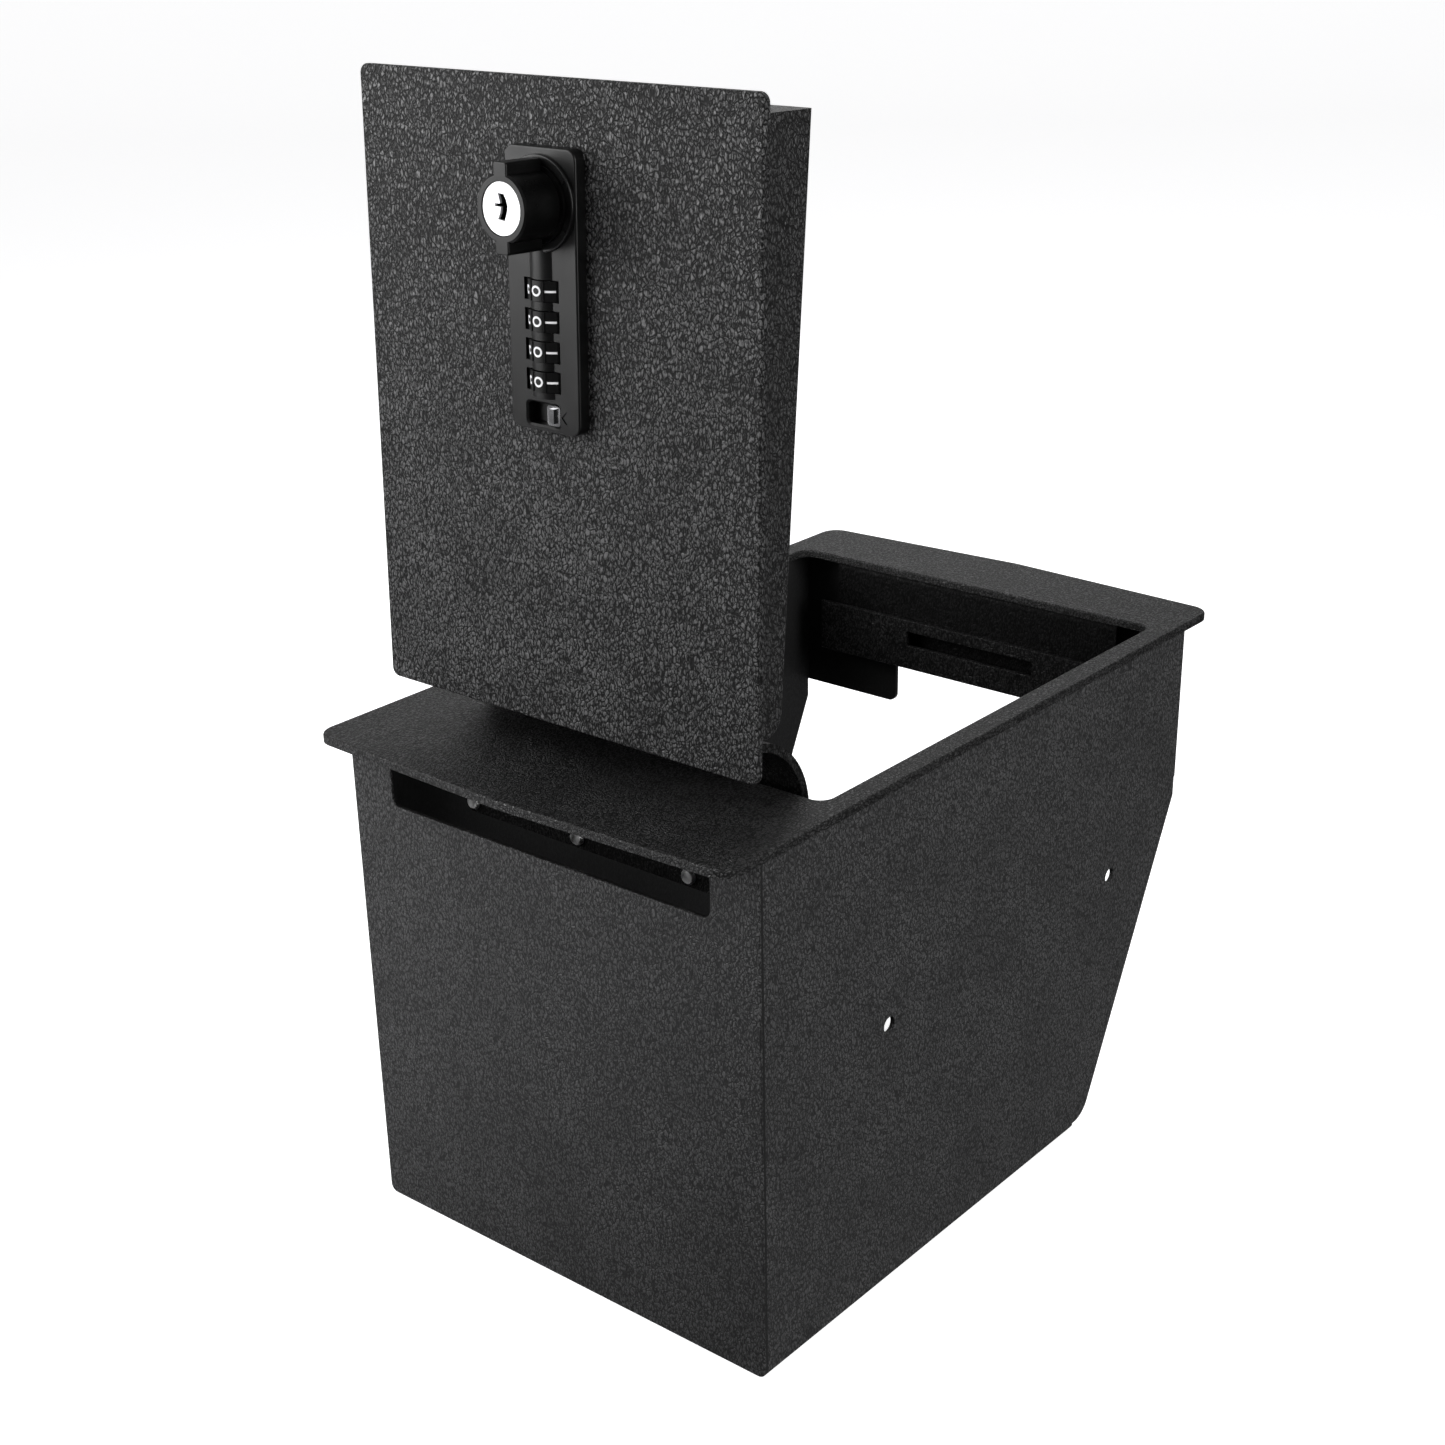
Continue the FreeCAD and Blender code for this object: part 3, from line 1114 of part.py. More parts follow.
def make_key_plug():
    """Barrel the key turns, with its keyway."""
    body = new_body("key_plug")
    top = plus(FACE, "sizes.knob_reach - sizes.disc_recess")
    pad(body, "barrel", "XY_Plane", minus(FACE, "sizes.plug_depth"), top,
        circle("0", KNOB_Y, "sizes.plug_radius"))
    pocket(body, "keyway", "XY_Plane", minus(top, "sizes.keyway_depth"), plus(top, PAST), keyway())
    return body


def make_key_disc():
    """Bright disc on the plug's front."""
    body = new_body("key_disc")
    low = plus(FACE, "sizes.knob_reach - sizes.disc_recess")
    high = plus(low, "sizes.disc_recess - sizes.disc_inset")
    pad(body, "disc", "XY_Plane", low, high, circle("0", KNOB_Y, "sizes.disc_radius"))
    pocket(body, "keyway", "XY_Plane", minus(low, PAST), plus(high, PAST), keyway())
    return body


# ---------------------------------------------------------------- assembly
hinge_point = Vector(0, value("sizes.axis_y"), value("sizes.axis_z"))
LID_OPEN = Placement(Vector(), Rotation(Vector(1, 0, 0), value("sizes.open_angle")), hinge_point)

leaf_fixed, leaf_lid = make_hinge_leaves()
tub_group = [
    make_tub_shell(),
    make_front_wall(),
    make_top_flange(),
    make_latch_bracket(),
    make_strike_plate(),
    make_latch_cover(),
    make_hinge_rail(),
    leaf_fixed,
    make_rail_rivets(),
    make_hinge_pin(),
]
lid_group = [
    leaf_lid,
    make_arm_rivets(),
    make_gooseneck(),
    make_lid_plate(),
    make_lid_pan(),
    make_lock_faceplate(),
    make_lock_housing(),
    make_lock_bridge(),
    make_lock_screws(),
    make_dial_shaft(),
    make_dial_spring(),
    make_code_slider(),
    make_knob(),
    make_cam_spindle(),
    make_spindle_clip(),
    make_cam_spacer(),
    make_latch_cam(),
    make_cam_nut(),
    make_key_plug(),
    make_key_disc(),
]
lid_group += [make_dial_wheel(number) for number in range(DIAL_COUNT)]

document.recompute()
to_origin = Placement(Vector(0, -value(RIM_MIDDLE), 0), Rotation())
for piece in tub_group:
    piece.Placement = to_origin.multiply(piece.Placement)
for piece in lid_group:
    piece.Placement = to_origin.multiply(LID_OPEN).multiply(piece.Placement)
document.recompute()

problems = []
for item in document.Objects:
    if "Invalid" in item.State or "Error" in item.State:
        problems.append("%s is %s" % (item.Label, ", ".join(item.State)))
nodes = tub_group + lid_group
for piece in nodes:
    if piece.Shape.isNull() or not piece.Shape.isValid() or piece.Shape.Volume <= 0:
        problems.append("%s has no valid shape" % piece.Label)
if problems:
    sys.exit("\n".join(problems))

os.makedirs("parts", exist_ok=True)
for piece in nodes:
    piece.Shape.exportStep(os.path.join("parts", piece.Label + ".step"))
print("wrote %d sub-parts" % len(nodes))
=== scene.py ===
import json
import math

import bpy
from mathutils import Matrix, Vector


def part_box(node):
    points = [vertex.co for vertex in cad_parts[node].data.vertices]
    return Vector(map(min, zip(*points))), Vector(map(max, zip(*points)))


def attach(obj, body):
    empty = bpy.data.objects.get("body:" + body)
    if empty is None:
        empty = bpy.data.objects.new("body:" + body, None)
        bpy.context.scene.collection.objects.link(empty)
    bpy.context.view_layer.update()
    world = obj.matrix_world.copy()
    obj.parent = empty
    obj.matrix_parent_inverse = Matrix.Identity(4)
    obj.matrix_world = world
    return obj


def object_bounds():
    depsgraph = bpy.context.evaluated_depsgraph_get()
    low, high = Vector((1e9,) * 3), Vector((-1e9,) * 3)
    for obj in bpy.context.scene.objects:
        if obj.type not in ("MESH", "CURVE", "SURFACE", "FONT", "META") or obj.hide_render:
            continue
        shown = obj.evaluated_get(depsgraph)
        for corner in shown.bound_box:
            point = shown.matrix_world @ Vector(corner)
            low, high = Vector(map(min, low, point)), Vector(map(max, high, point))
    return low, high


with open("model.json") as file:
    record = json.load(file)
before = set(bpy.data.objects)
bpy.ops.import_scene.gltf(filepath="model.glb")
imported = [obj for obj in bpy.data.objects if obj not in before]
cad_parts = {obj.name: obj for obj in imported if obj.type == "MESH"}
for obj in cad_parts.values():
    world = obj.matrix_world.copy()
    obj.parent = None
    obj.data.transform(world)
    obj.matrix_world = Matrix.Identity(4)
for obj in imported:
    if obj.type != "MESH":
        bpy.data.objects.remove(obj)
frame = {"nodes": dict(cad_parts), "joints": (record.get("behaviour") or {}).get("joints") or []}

# Looks of a locking steel console insert: textured powder coat, cast lock, digit wheels.
# Lengths are in metres. The lid stands open at rest.

MM = 0.001
NODES = frame["nodes"]
JOINTS = {joint["name"]: joint for joint in frame["joints"]}
CAD_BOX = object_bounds()
TUB_LOW, TUB_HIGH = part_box("tub_shell")
WALL_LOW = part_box("front_wall")[0]
WHEEL_NUMBERS = (1, 2, 3, 4)

# Digit wheels: the drum between the ridges, and the painted figures.
WHEEL_DRUM = 8.9 * MM
DIGITS_PER_WHEEL = 10
FIGURE_HALF_HEIGHT = 2.1 * MM
FIGURE_HALF_WIDTH = 1.85 * MM
STROKE = 0.75 * MM
PAINT = 0.06 * MM
SAME_POINT = 1e-6
LEAST_MITRE = 0.5

# Powder coat: sizes of its pattern, how proud it stands, and how far into the sheet it is textured.
PEBBLE = 1.6 * MM
SPECKLE = 0.85 * MM
WAVE = 9 * MM
WAVE_REACH = 3 * MM
COAT_PATCH = 28 * MM
COAT_RELIEF = 0.45 * MM
COAT_SKIN = 0.8 * MM
FAR = 1.0

# CREASE is a distance in pebble sizes. LEAST_RELIEF is the part of the relief that is left between
# speckles, and again where the coat is smooth. Creases have none.
CREASE = 0.16
SPECKLE_LIMITS = (0.37, 0.63)
PATCH_AMOUNT = (0.8, 1.15)
LEAST_RELIEF = 0.1
COAT_ROUGHNESS = (0.56, 0.46)
COAT_SHINE = 0.45

# At a contrast of 1: how much darker and duller the creases are, and lighter and shinier the crowns.
# The darker crease colour is painted shade in the creases; the lighter crown colour is painted highlight
# on the crowns.
CREASE_SHADE_DARKER = 0.8
CREASE_DULLER = 0.35
CROWN_HIGHLIGHT_LIGHTER = 4.4
CROWN_SHINIER = 0.5

# Rolled steel: its lines run along X, and are twelve times finer across.
ROLLED_ALONG_X = (1.0, 12.0, 12.0)

# Key disc: the distance from one lathe ring to the next.
RING_PITCH = 0.25 * MM

# Noise values mostly lie between these two.
NOISE_LOW, NOISE_HIGH = 0.3, 0.7

# Studio: the world and the floor look white to the camera, and are dimmer as sources of light.
WORLD_LIGHT = 0.30
FLOOR_LIFT = 0.72
FLOOR_BOUNCE_LEFT = 0.62
FLOOR_BOUNCE_RIGHT = 0.06
FLOOR_FADE = 0.35
FLOOR_GAP = 0.5 * MM
FLOOR_HALF = 6.0
BACKDROP_START = 0.6 * FLOOR_HALF
BACKDROP_RADIUS = 2.5
BACKDROP_TOP = 8.0
BACKDROP_STEPS = 24

# The camera stands where the reference view was taken from. Angles are in degrees.
CAMERA_AZIMUTH = 40.11
CAMERA_ELEVATION = 23.82
CAMERA_ROLL = -1.18
CAMERA_PLACE = (0.5356, -0.6873, 0.5493)
CAMERA_LENS = 54.99
CAMERA_SENSOR = 36.0
CAMERA_CLIP = (0.01, 100.0)
CAMERA_SHIFT = (0.0050, 0.0499)


# ---------------------------------------------------------------- node materials
class Shader:
    """A small wrapper that adds nodes to a material and links them by socket name."""

    def __init__(self, name):
        self.material = bpy.data.materials.new(name)
        self.material.use_nodes = True
        self.tree = self.material.node_tree
        self.surface = self.tree.nodes["Principled BSDF"]
        self.place = self.add("ShaderNodeTexCoord").outputs["Object"]

    def feed(self, socket, source):
        """Links a socket to the source, or sets it when the source is a plain value."""
        if isinstance(source, bpy.types.NodeSocket):
            self.tree.links.new(source, socket)
        else:
            socket.default_value = source

    def add(self, kind, inputs=None, **settings):
        node = self.tree.nodes.new(kind)
        for name, setting in settings.items():
            setattr(node, name, setting)
        for name, source in (inputs or {}).items():
            self.feed(node.inputs[name], source)
        return node

    def math(self, operation, *sources):
        node = self.add("ShaderNodeMath", operation=operation)
        for socket, source in zip(node.inputs, sources):
            self.feed(socket, source)
        return node.outputs[0]

    def vectors(self, operation, *sources):
        node = self.add("ShaderNodeVectorMath", operation=operation)
        for socket, source in zip(node.inputs, sources):
            self.feed(socket, source)
        return node

    def remap(self, source, low, high, new_low, new_high):
        node = self.add("ShaderNodeMapRange", {
            "Value": source, "From Min": low, "From Max": high, "To Min": new_low, "To Max": new_high})
        node.interpolation_type = "SMOOTHSTEP"
        return node.outputs[0]

    def axis(self, name):
        """One coordinate of the place: X, Y or Z."""
        return self.add("ShaderNodeSeparateXYZ", {"Vector": self.place}).outputs[name]

    def noise(self, place, size, detail=2.0, roughness=0.5):
        """Noise whose features are about size metres across."""
        return self.add("ShaderNodeTexNoise", {
            "Vector": place, "Scale": 1 / size, "Detail": detail, "Roughness": roughness}).outputs["Fac"]

    def stretch(self, place, scale):
        return self.add("ShaderNodeMapping", {"Vector": place, "Scale": scale}).outputs["Vector"]

    def warp(self, place, size, reach):
        """Moves the pattern about by up to half of reach each way, so its cells aren't regular."""
        noise = self.add("ShaderNodeTexNoise", {"Vector": place, "Scale": 1 / size, "Detail": 1.0})
        centred = self.vectors("SUBTRACT", noise.outputs["Color"], (0.5, 0.5, 0.5))
        scaled = self.vectors("SCALE", centred.outputs[0])
        scaled.inputs["Scale"].default_value = reach
        return self.vectors("ADD", place, scaled.outputs[0]).outputs[0]

    def mix(self, factor, first, second):
        node = self.add("ShaderNodeMix", data_type="RGBA")
        for name, source in (("Factor", factor), ("A", first), ("B", second)):
            socket = [item for item in node.inputs if item.name == name and item.enabled][0]
            self.feed(socket, source)
        return [item for item in node.outputs if item.enabled][0]

    def at_least(self, least, source):
        """Maps 0 to 1 onto least to 1."""
        return self.math("MULTIPLY_ADD", source, 1 - least, least)

    def bump(self, height, distance, strength=1.0):
        inputs = {"Height": height, "Distance": distance, "Strength": strength}
        return self.add("ShaderNodeBump", inputs).outputs["Normal"]

    def finish(self, **inputs):
        """Sets the surface's inputs, named in lower case with underscores, and gives the material."""
        for name, source in inputs.items():
            label = name.replace("_", " ").title().replace("Ior", "IOR")
            self.feed(self.surface.inputs[label], source)
        return self.material


def grey(level):
    return (level, level, level * 1.02, 1.0)


def leather_coat(name, contrast, base=0.013, gloss=1.0, smooth_inside=None, stretch=(1.0, 1.0, 0.6)):
    """Textured powder coat: worn-leather pebbles parted by fine creases, with painted shade in the
    creases and painted highlight on the crowns.

    smooth_inside is (axis, limit, limit): between the limits the coat is thin and smooth, and darker with
    painted shade.
    """
    shader = Shader(name)
    wandering = shader.warp(shader.place, WAVE, WAVE_REACH)
    stretched = shader.stretch(wandering, stretch)
    pebbles = shader.add("ShaderNodeTexVoronoi", {
        "Vector": stretched, "Scale": 1 / PEBBLE, "Randomness": 1.0}, feature="DISTANCE_TO_EDGE")
    crown = shader.remap(pebbles.outputs["Distance"], 0.0, CREASE, 0.0, 1.0)
    speckle = shader.remap(shader.noise(stretched, SPECKLE, roughness=0.6), *SPECKLE_LIMITS, 0.0, 1.0)
    texture = shader.math("MULTIPLY", crown, shader.at_least(LEAST_RELIEF, speckle))
    patches = shader.noise(shader.place, COAT_PATCH)
    amount = shader.remap(patches, NOISE_LOW, NOISE_HIGH, *PATCH_AMOUNT)
    # Less relief between the limits: the coat is smoother there, and its colour falls towards the crease
    # colour, painted shade inside the tub and behind the front wall.
    if smooth_inside is not None:
        axis, low, high = smooth_inside
        place = shader.axis(axis)
        above = shader.math("GREATER_THAN", place, low)
        below = shader.math("LESS_THAN", place, high)
        outside = shader.math("SUBTRACT", 1.0, shader.math("MULTIPLY", above, below))
        amount = shader.math("MULTIPLY", amount, shader.at_least(LEAST_RELIEF, outside))
    relief = shader.math("MULTIPLY", texture, amount)
    # Painted shade: the creases take the darker colour. Painted highlight: the crowns take the lighter
    # one.
    crease_shade_colour = grey(base * (1 - CREASE_SHADE_DARKER * contrast))
    crown_highlight_colour = grey(base * (1 + CROWN_HIGHLIGHT_LIGHTER * contrast))
    crease_shine = gloss * (COAT_SHINE - CREASE_DULLER * contrast)
    crown_shine = gloss * (COAT_SHINE + CROWN_SHINIER * contrast)
    return shader.finish(
        base_color=shader.mix(relief, crease_shade_colour, crown_highlight_colour),
        roughness=shader.remap(speckle, 0.0, 1.0, *COAT_ROUGHNESS),
        specular_ior_level=shader.remap(relief, 0.0, 1.0, crease_shine, crown_shine),
        normal=shader.bump(relief, COAT_RELIEF * contrast))


def cast_black(name, level, roughness, shine):
    """Smooth sprayed zinc casting, with a faint orange peel."""
    shader = Shader(name)
    peel = shader.noise(shader.place, 0.7 * MM)
    blotch = shader.noise(shader.place, 12 * MM, detail=3.0)
    colour = shader.mix(blotch, grey(level * 0.8), grey(level * 1.25))
    rough = shader.remap(blotch, NOISE_LOW, NOISE_HIGH, roughness - 0.05, roughness + 0.06)
    return shader.finish(base_color=colour, roughness=rough, specular_ior_level=shine,
                         normal=shader.bump(peel, 0.02 * MM, strength=0.5))


def moulded_black(name):
    """Black plastic of the digit wheels, slightly grained."""
    shader = Shader(name)
    grain = shader.noise(shader.place, 0.35 * MM)
    blotch = shader.noise(shader.place, 6 * MM)
    colour = shader.mix(blotch, grey(0.002), grey(0.005))
    return shader.finish(base_color=colour, roughness=shader.remap(grain, 0.2, 0.8, 0.28, 0.42),
                         specular_ior_level=0.22, normal=shader.bump(grain, 0.02 * MM, strength=0.6))


def plated_steel(name, tint, roughness):
    """Plated steel with fine rolling lines along X and dull patches."""
    shader = Shader(name)
    rolled = shader.stretch(shader.place, ROLLED_ALONG_X)
    lines = shader.noise(rolled, 3 * MM, detail=4.0, roughness=0.7)
    patches = shader.noise(shader.place, 5 * MM, detail=4.0, roughness=0.6)
    dark = tuple(channel * 0.72 for channel in tint) + (1.0,)
    colour = shader.mix(patches, dark, tint + (1.0,))
    rough = shader.remap(patches, NOISE_LOW, NOISE_HIGH, roughness * 0.7, roughness * 1.4)
    return shader.finish(base_color=colour, metallic=1.0, roughness=rough,
                         normal=shader.bump(lines, 0.012 * MM, strength=0.5))


def satin_disc(name):
    """Bright key disc, turned on a lathe: rings about the key's axis."""
    shader = Shader(name)
    centre = Vector(JOINTS["key_turn"]["pos_m"])
    offset = shader.vectors("SUBTRACT", shader.place, (centre.x, 0.0, centre.z))
    flat = shader.vectors("MULTIPLY", offset.outputs[0], (1.0, 0.0, 1.0))
    radius = shader.vectors("LENGTH", flat.outputs[0]).outputs["Value"]
    rings = shader.math("SINE", shader.math("MULTIPLY", radius, 2 * math.pi / RING_PITCH))
    specks = shader.noise(shader.place, 0.6 * MM, detail=3.0)
    return shader.finish(base_color=shader.mix(specks, grey(0.78), grey(0.93)), metallic=0.55,
                         roughness=shader.remap(specks, NOISE_LOW, NOISE_HIGH, 0.30, 0.45),
                         normal=shader.bump(rings, 0.004 * MM, strength=0.5))


def white_paint(name):
    """White paint of the figures, with small chips."""
    shader = Shader(name)
    chips = shader.noise(shader.place, 0.3 * MM, detail=3.0, roughness=0.6)
    colour = shader.mix(shader.remap(chips, 0.25, 0.4, 0.0, 1.0), grey(0.5), grey(0.86))
    return shader.finish(base_color=colour, roughness=0.5,
                         normal=shader.bump(chips, 0.01 * MM, strength=0.4))


def floor_paper(name):
    """White paper to the camera; the light it gives off fades from left to right."""
    shader = Shader(name)
    fibres = shader.noise(shader.place, 1.5 * MM, detail=4.0)
    seen = shader.add("ShaderNodeLightPath").outputs["Is Camera Ray"]
    to_the_right = shader.remap(shader.axis("X"), -FLOOR_FADE, FLOOR_FADE, 0.0, 1.0)
    bounce = shader.mix(to_the_right, grey(FLOOR_BOUNCE_LEFT), grey(FLOOR_BOUNCE_RIGHT))
    paper = shader.mix(fibres, grey(0.86), grey(0.90))
    colour = shader.mix(seen, bounce, paper)
    lift = shader.math("MULTIPLY", seen, FLOOR_LIFT)
    return shader.finish(base_color=colour, roughness=0.9, specular_ior_level=0.1,
                         normal=shader.bump(fibres, 0.02 * MM, strength=0.3),
                         emission_color=(1.0, 1.0, 1.0, 1.0), emission_strength=lift)


def paint(material, *names):
    for name in names:
        slots = NODES[name].data.materials
        slots.clear()
        slots.append(material)


def paint_cad_nodes():
    inside_tub = ("X", TUB_LOW.x + COAT_SKIN, TUB_HIGH.x - COAT_SKIN)
    behind_wall = ("Y", WALL_LOW.y + COAT_SKIN, FAR)
    paint(leather_coat("coat_tub", contrast=0.45, base=0.019, smooth_inside=inside_tub), "tub_shell")
    paint(leather_coat("coat_wall", contrast=0.5, smooth_inside=behind_wall), "front_wall")
    paint(leather_coat("coat_lid", contrast=0.92), "lid_plate")
    paint(leather_coat("coat_pan", contrast=0.7, base=0.008), "lid_pan")
    # Painted shade: the flange, strike plate, gooseneck, latch bracket, latch cover and hinge rail get
    # darker bases than the walls and lid, where they lie under the lid or flange or inside the tub.
    paint(leather_coat("coat_flat", contrast=0.6, base=0.004, stretch=(1.0, 0.7, 1.0)), "top_flange")
    paint(leather_coat("coat_strike", contrast=0.6, base=0.003, gloss=0.6), "strike_plate", "gooseneck")
    paint(leather_coat("coat_hidden_shaded", contrast=0.4, base=0.002, gloss=0.3),
          "latch_bracket", "latch_cover", "hinge_rail")
    paint(cast_black("lock_paint", level=0.002, roughness=0.34, shine=0.29),
          "lock_faceplate", "lock_housing")
    paint(cast_black("knob_paint", level=0.001, roughness=0.32, shine=0.25), "knob")
    paint(moulded_black("wheel_plastic"), *["dial_wheel_%d" % number for number in WHEEL_NUMBERS])
    paint(plated_steel("zinc_plate", tint=(0.62, 0.62, 0.60), roughness=0.32),
          "hinge_leaf_fixed", "hinge_leaf_lid", "hinge_pin", "arm_rivets", "lock_bridge",
          "lock_screws", "spindle_clip", "latch_cam", "cam_nut", "cam_spacer", "cam_spindle",
          "dial_shaft", "dial_spring")
    paint(plated_steel("bright_nickel", tint=(1.0, 1.0, 1.0), roughness=0.34), "rail_rivets")
    paint(plated_steel("dark_chrome", tint=(0.42, 0.42, 0.43), roughness=0.16), "code_slider")
    # The key plug's dark tint is painted shade inside the keyway.
    paint(plated_steel("plug_steel", tint=(0.16, 0.155, 0.15), roughness=0.30), "key_plug")
    paint(satin_disc("key_disc_satin"), "key_disc")


# ---------------------------------------------------------------- figures on the wheels
# Each figure is strokes on a grid: x from -1 to 1 across, y from -1 to 1 upright.
def arc(centre_x, centre_y, across, upright, start, end, steps=14):
    """Points of an elliptical arc, angles in degrees from +x towards +y."""
    points = []
    for step in range(steps + 1):
        angle = math.radians(start + (end - start) * step / steps)
        points.append((centre_x + across * math.cos(angle), centre_y + upright * math.sin(angle)))
    return points


FIGURES = {
    0: [arc(0, 0, 0.8, 0.8, 0, 360, 28)],
    1: [[(0, -0.95), (0, 0.95)]],
    2: [arc(0, 0.4, 0.65, 0.55, 160, -35) + [(-0.7, -0.9), (0.75, -0.9)]],
    3: [arc(0, 0.47, 0.6, 0.45, 150, -90) + arc(0, -0.43, 0.68, 0.5, 90, -150)],
    4: [[(0.35, -0.95), (0.35, 0.9), (-0.75, -0.35), (0.8, -0.35)]],
    5: [[(0.6, 0.9), (-0.5, 0.9), (-0.55, 0.1)] + arc(0, -0.3, 0.65, 0.6, 140, -150)],
    6: [arc(0, -0.35, 0.62, 0.57, 0, 360, 24), arc(0.35, -0.3, 1.0, 1.2, 180, 105)],
    7: [[(-0.65, 0.9), (0.7, 0.9), (-0.2, -0.95)]],
    8: [arc(0, 0.45, 0.52, 0.45, 0, 360, 22), arc(0, -0.45, 0.65, 0.48, 0, 360, 22)],
    9: [arc(0, 0.35, 0.62, 0.57, 0, 360, 24), arc(-0.35, 0.3, 1.0, 1.2, 0, -75)],
}


def resample(points, step):
    """The same path with extra points, so that it bends round the wheel."""
    path = [points[0]]
    for here, there in zip(points, points[1:]):
        count = max(1, math.ceil(math.dist(here, there) / step))
        for number in range(1, count + 1):
            part = number / count
            path.append((here[0] + (there[0] - here[0]) * part, here[1] + (there[1] - here[1]) * part))
    return path


def stroke_pairs(points, width):
    """A ribbon of even width along the points, with mitred joints: (left, right) point pairs."""
    closed = math.dist(points[0], points[-1]) < SAME_POINT
    pairs = []
    last = len(points) - 1
    for index, point in enumerate(points):
        before = points[index - 1] if index > 0 else (points[last - 1] if closed else None)
        after = points[index + 1] if index < last else (points[1] if closed else None)
        ways = []
        if before is not None:
            ways.append(Vector((point[0] - before[0], point[1] - before[1])).normalized())
        if after is not None:
            ways.append(Vector((after[0] - point[0], after[1] - point[1])).normalized())
        way = sum(ways, Vector((0.0, 0.0))).normalized()
        side = Vector((-way.y, way.x))
        mitre = max(LEAST_MITRE, side.dot(Vector((-ways[0].y, ways[0].x))))
        reach = side * (width / 2 / mitre)
        pairs.append(((point[0] + reach.x, point[1] + reach.y), (point[0] - reach.x, point[1] - reach.y)))
    return pairs


def wheel_figures(number):
    """White figures round one digit wheel; their tops point round the wheel."""
    joint = JOINTS["dial_%d_spin" % number]
    along = Vector(joint["axis"]).normalized()
    centre = Vector(joint["pos_m"])
    side = Vector((1.0, 0.0, 0.0))
    outward = side.cross(along).normalized()
    vertices = []
    faces = []

    def on_drum(across, round_angle, radius):
        direction = outward * math.cos(round_angle) + side * math.sin(round_angle)
        return centre + direction * radius + along * across

    for figure, strokes in FIGURES.items():
        middle = figure * 2 * math.pi / DIGITS_PER_WHEEL
        for stroke in strokes:
            outline = [(x * FIGURE_HALF_WIDTH, y * FIGURE_HALF_HEIGHT) for x, y in stroke]
            pairs = stroke_pairs(resample(outline, STROKE / 2), STROKE)
            start = len(vertices)
            for pair in pairs:
                for across, upright in pair:
                    angle = middle + upright / WHEEL_DRUM
                    vertices.append(on_drum(across, angle, WHEEL_DRUM + PAINT))
                    vertices.append(on_drum(across, angle, WHEEL_DRUM - PAINT))
            for step in range(len(pairs) - 1):
                here = start + 4 * step
                there = here + 4
                faces.append((here, there, there + 2, here + 2))
                faces.append((here + 1, here + 3, there + 3, there + 1))
                faces.append((here, here + 1, there + 1, there))
                faces.append((here + 2, there + 2, there + 3, here + 3))
            end = start + 4 * (len(pairs) - 1)
            faces.append((start, start + 2, start + 3, start + 1))
            faces.append((end, end + 1, end + 3, end + 2))
    mesh = bpy.data.meshes.new("figures_%d" % number)
    mesh.from_pydata([tuple(vertex) for vertex in vertices], [], faces)
    mesh.update()
    piece = bpy.data.objects.new("figures_%d" % number, mesh)
    bpy.context.scene.collection.objects.link(piece)
    return piece


def add_figures():
    ink = white_paint("figure_white")
    for number in WHEEL_NUMBERS:
        piece = wheel_figures(number)
        piece.data.materials.append(ink)
        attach(piece, "dial_%d" % number)


# ---------------------------------------------------------------- stage
def add_floor():
    """Flat floor that curves up into a backdrop behind the object, as the camera sees it."""
    depth = CAD_BOX[0].z - FLOOR_GAP
    rows = [(-FLOOR_HALF, depth), (BACKDROP_START, depth)]
    for step in range(1, BACKDROP_STEPS + 1):
        angle = math.radians(90 * step / BACKDROP_STEPS)
        rows.append((BACKDROP_START + BACKDROP_RADIUS * math.sin(angle),
                     depth + BACKDROP_RADIUS - BACKDROP_RADIUS * math.cos(angle)))
    rows.append((BACKDROP_START + BACKDROP_RADIUS, BACKDROP_TOP))
    turn = Matrix.Rotation(math.radians(CAMERA_AZIMUTH), 3, "Z")
    sides = (-2 * FLOOR_HALF, 2 * FLOOR_HALF)
    vertices = [tuple(turn @ Vector((across, y, z))) for y, z in rows for across in sides]
    faces = [(2 * row, 2 * row + 1, 2 * row + 3, 2 * row + 2) for row in range(len(rows) - 1)]
    mesh = bpy.data.meshes.new("floor")
    mesh.from_pydata(vertices, [], faces)
    for polygon in mesh.polygons:
        polygon.use_smooth = True
    floor = bpy.data.objects.new("floor", mesh)
    bpy.context.scene.collection.objects.link(floor)
    floor.data.materials.append(floor_paper("floor_paper"))


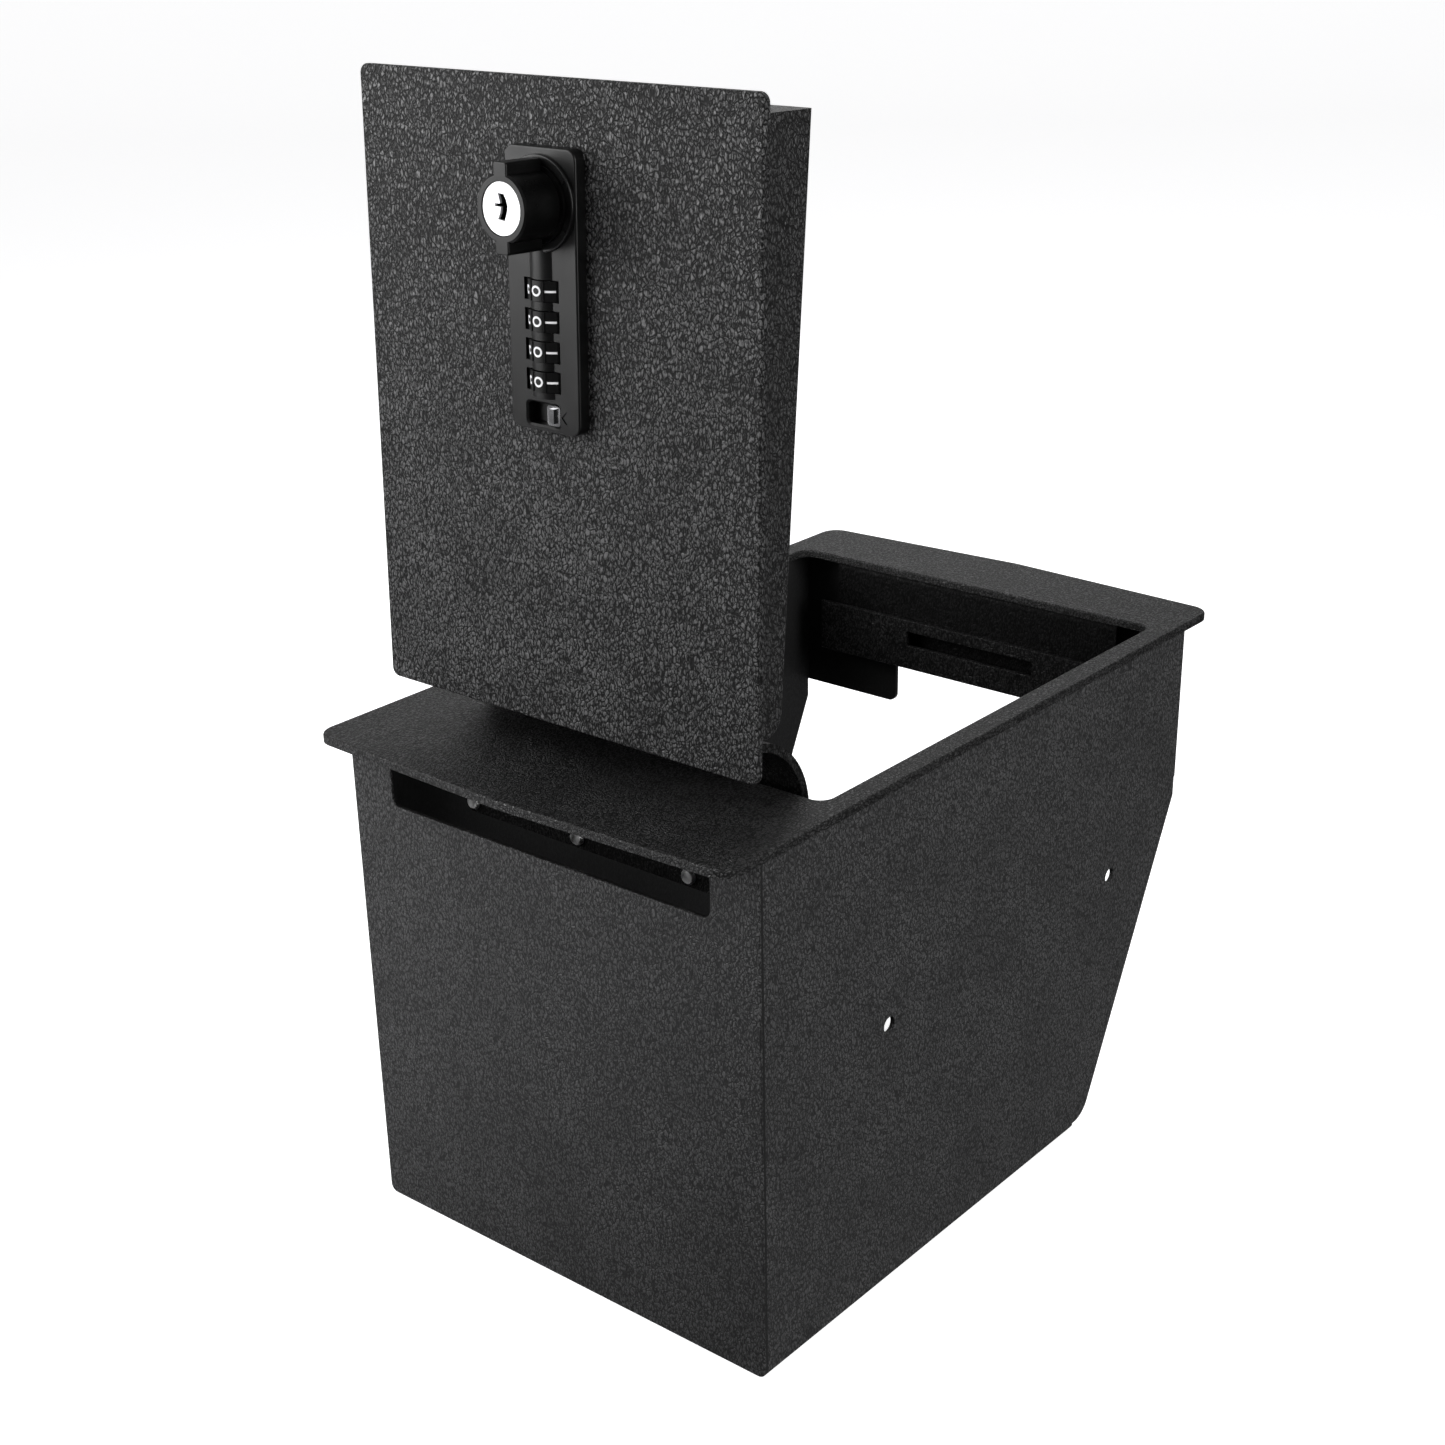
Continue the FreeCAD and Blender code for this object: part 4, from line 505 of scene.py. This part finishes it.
def add_world():
    """White to look at, dimmer as a source of light."""
    world = bpy.data.worlds.new("studio")
    world.use_nodes = True
    tree = world.node_tree
    background = tree.nodes["Background"]
    background.inputs["Color"].default_value = (1.0, 1.0, 1.0, 1.0)
    seen = tree.nodes.new("ShaderNodeLightPath")
    strength = tree.nodes.new("ShaderNodeMapRange")
    tree.links.new(seen.outputs["Is Camera Ray"], strength.inputs["Value"])
    strength.inputs["To Min"].default_value = WORLD_LIGHT
    strength.inputs["To Max"].default_value = 1.0
    tree.links.new(strength.outputs["Result"], background.inputs["Strength"])
    bpy.context.scene.world = world


def add_soft_light(name, direction, distance, size, power):
    """A rectangular softbox, seen from the object's middle in the given direction, facing it."""
    middle = (CAD_BOX[0] + CAD_BOX[1]) / 2
    light = bpy.data.lights.new(name, "AREA")
    light.shape = "RECTANGLE"
    light.size, light.size_y = size
    light.energy = power
    lamp = bpy.data.objects.new(name, light)
    towards = Vector(direction).normalized()
    lamp.location = middle + towards * distance
    lamp.rotation_mode = "QUATERNION"
    lamp.rotation_quaternion = towards.to_track_quat("Z", "Y")
    bpy.context.scene.collection.objects.link(lamp)


def add_lights():
    """Powers are in watts."""
    add_soft_light("overhead", (-0.3, 0.4, 1.0), distance=1.6, size=(1.2, 1.2), power=4.0)
    add_soft_light("front_left", (-0.9, -1.0, 0.62), distance=0.95, size=(0.8, 0.8), power=10.0)
    add_soft_light("back_left", (-0.64, 0.77, 0.44), distance=1.8, size=(1.2, 0.9), power=4.5)
    add_soft_light("right", (1.0, -0.1, 0.3), distance=1.8, size=(0.8, 1.2), power=27.0)


def add_camera():
    data = bpy.data.cameras.new("camera")
    data.sensor_width = CAMERA_SENSOR
    data.lens = CAMERA_LENS
    data.shift_x, data.shift_y = CAMERA_SHIFT
    data.clip_start, data.clip_end = CAMERA_CLIP
    camera = bpy.data.objects.new("camera", data)
    turn = Matrix.Rotation(math.radians(CAMERA_AZIMUTH), 4, "Z")
    tip = Matrix.Rotation(math.radians(90 - CAMERA_ELEVATION), 4, "X")
    roll = Matrix.Rotation(math.radians(CAMERA_ROLL), 4, "Z")
    camera.matrix_world = Matrix.Translation(CAMERA_PLACE) @ turn @ tip @ roll
    bpy.context.scene.collection.objects.link(camera)
    bpy.context.scene.camera = camera


# ---------------------------------------------------------------- build
paint_cad_nodes()
add_figures()
add_floor()
add_world()
add_lights()
add_camera()
bpy.context.scene.view_settings.view_transform = "Standard"
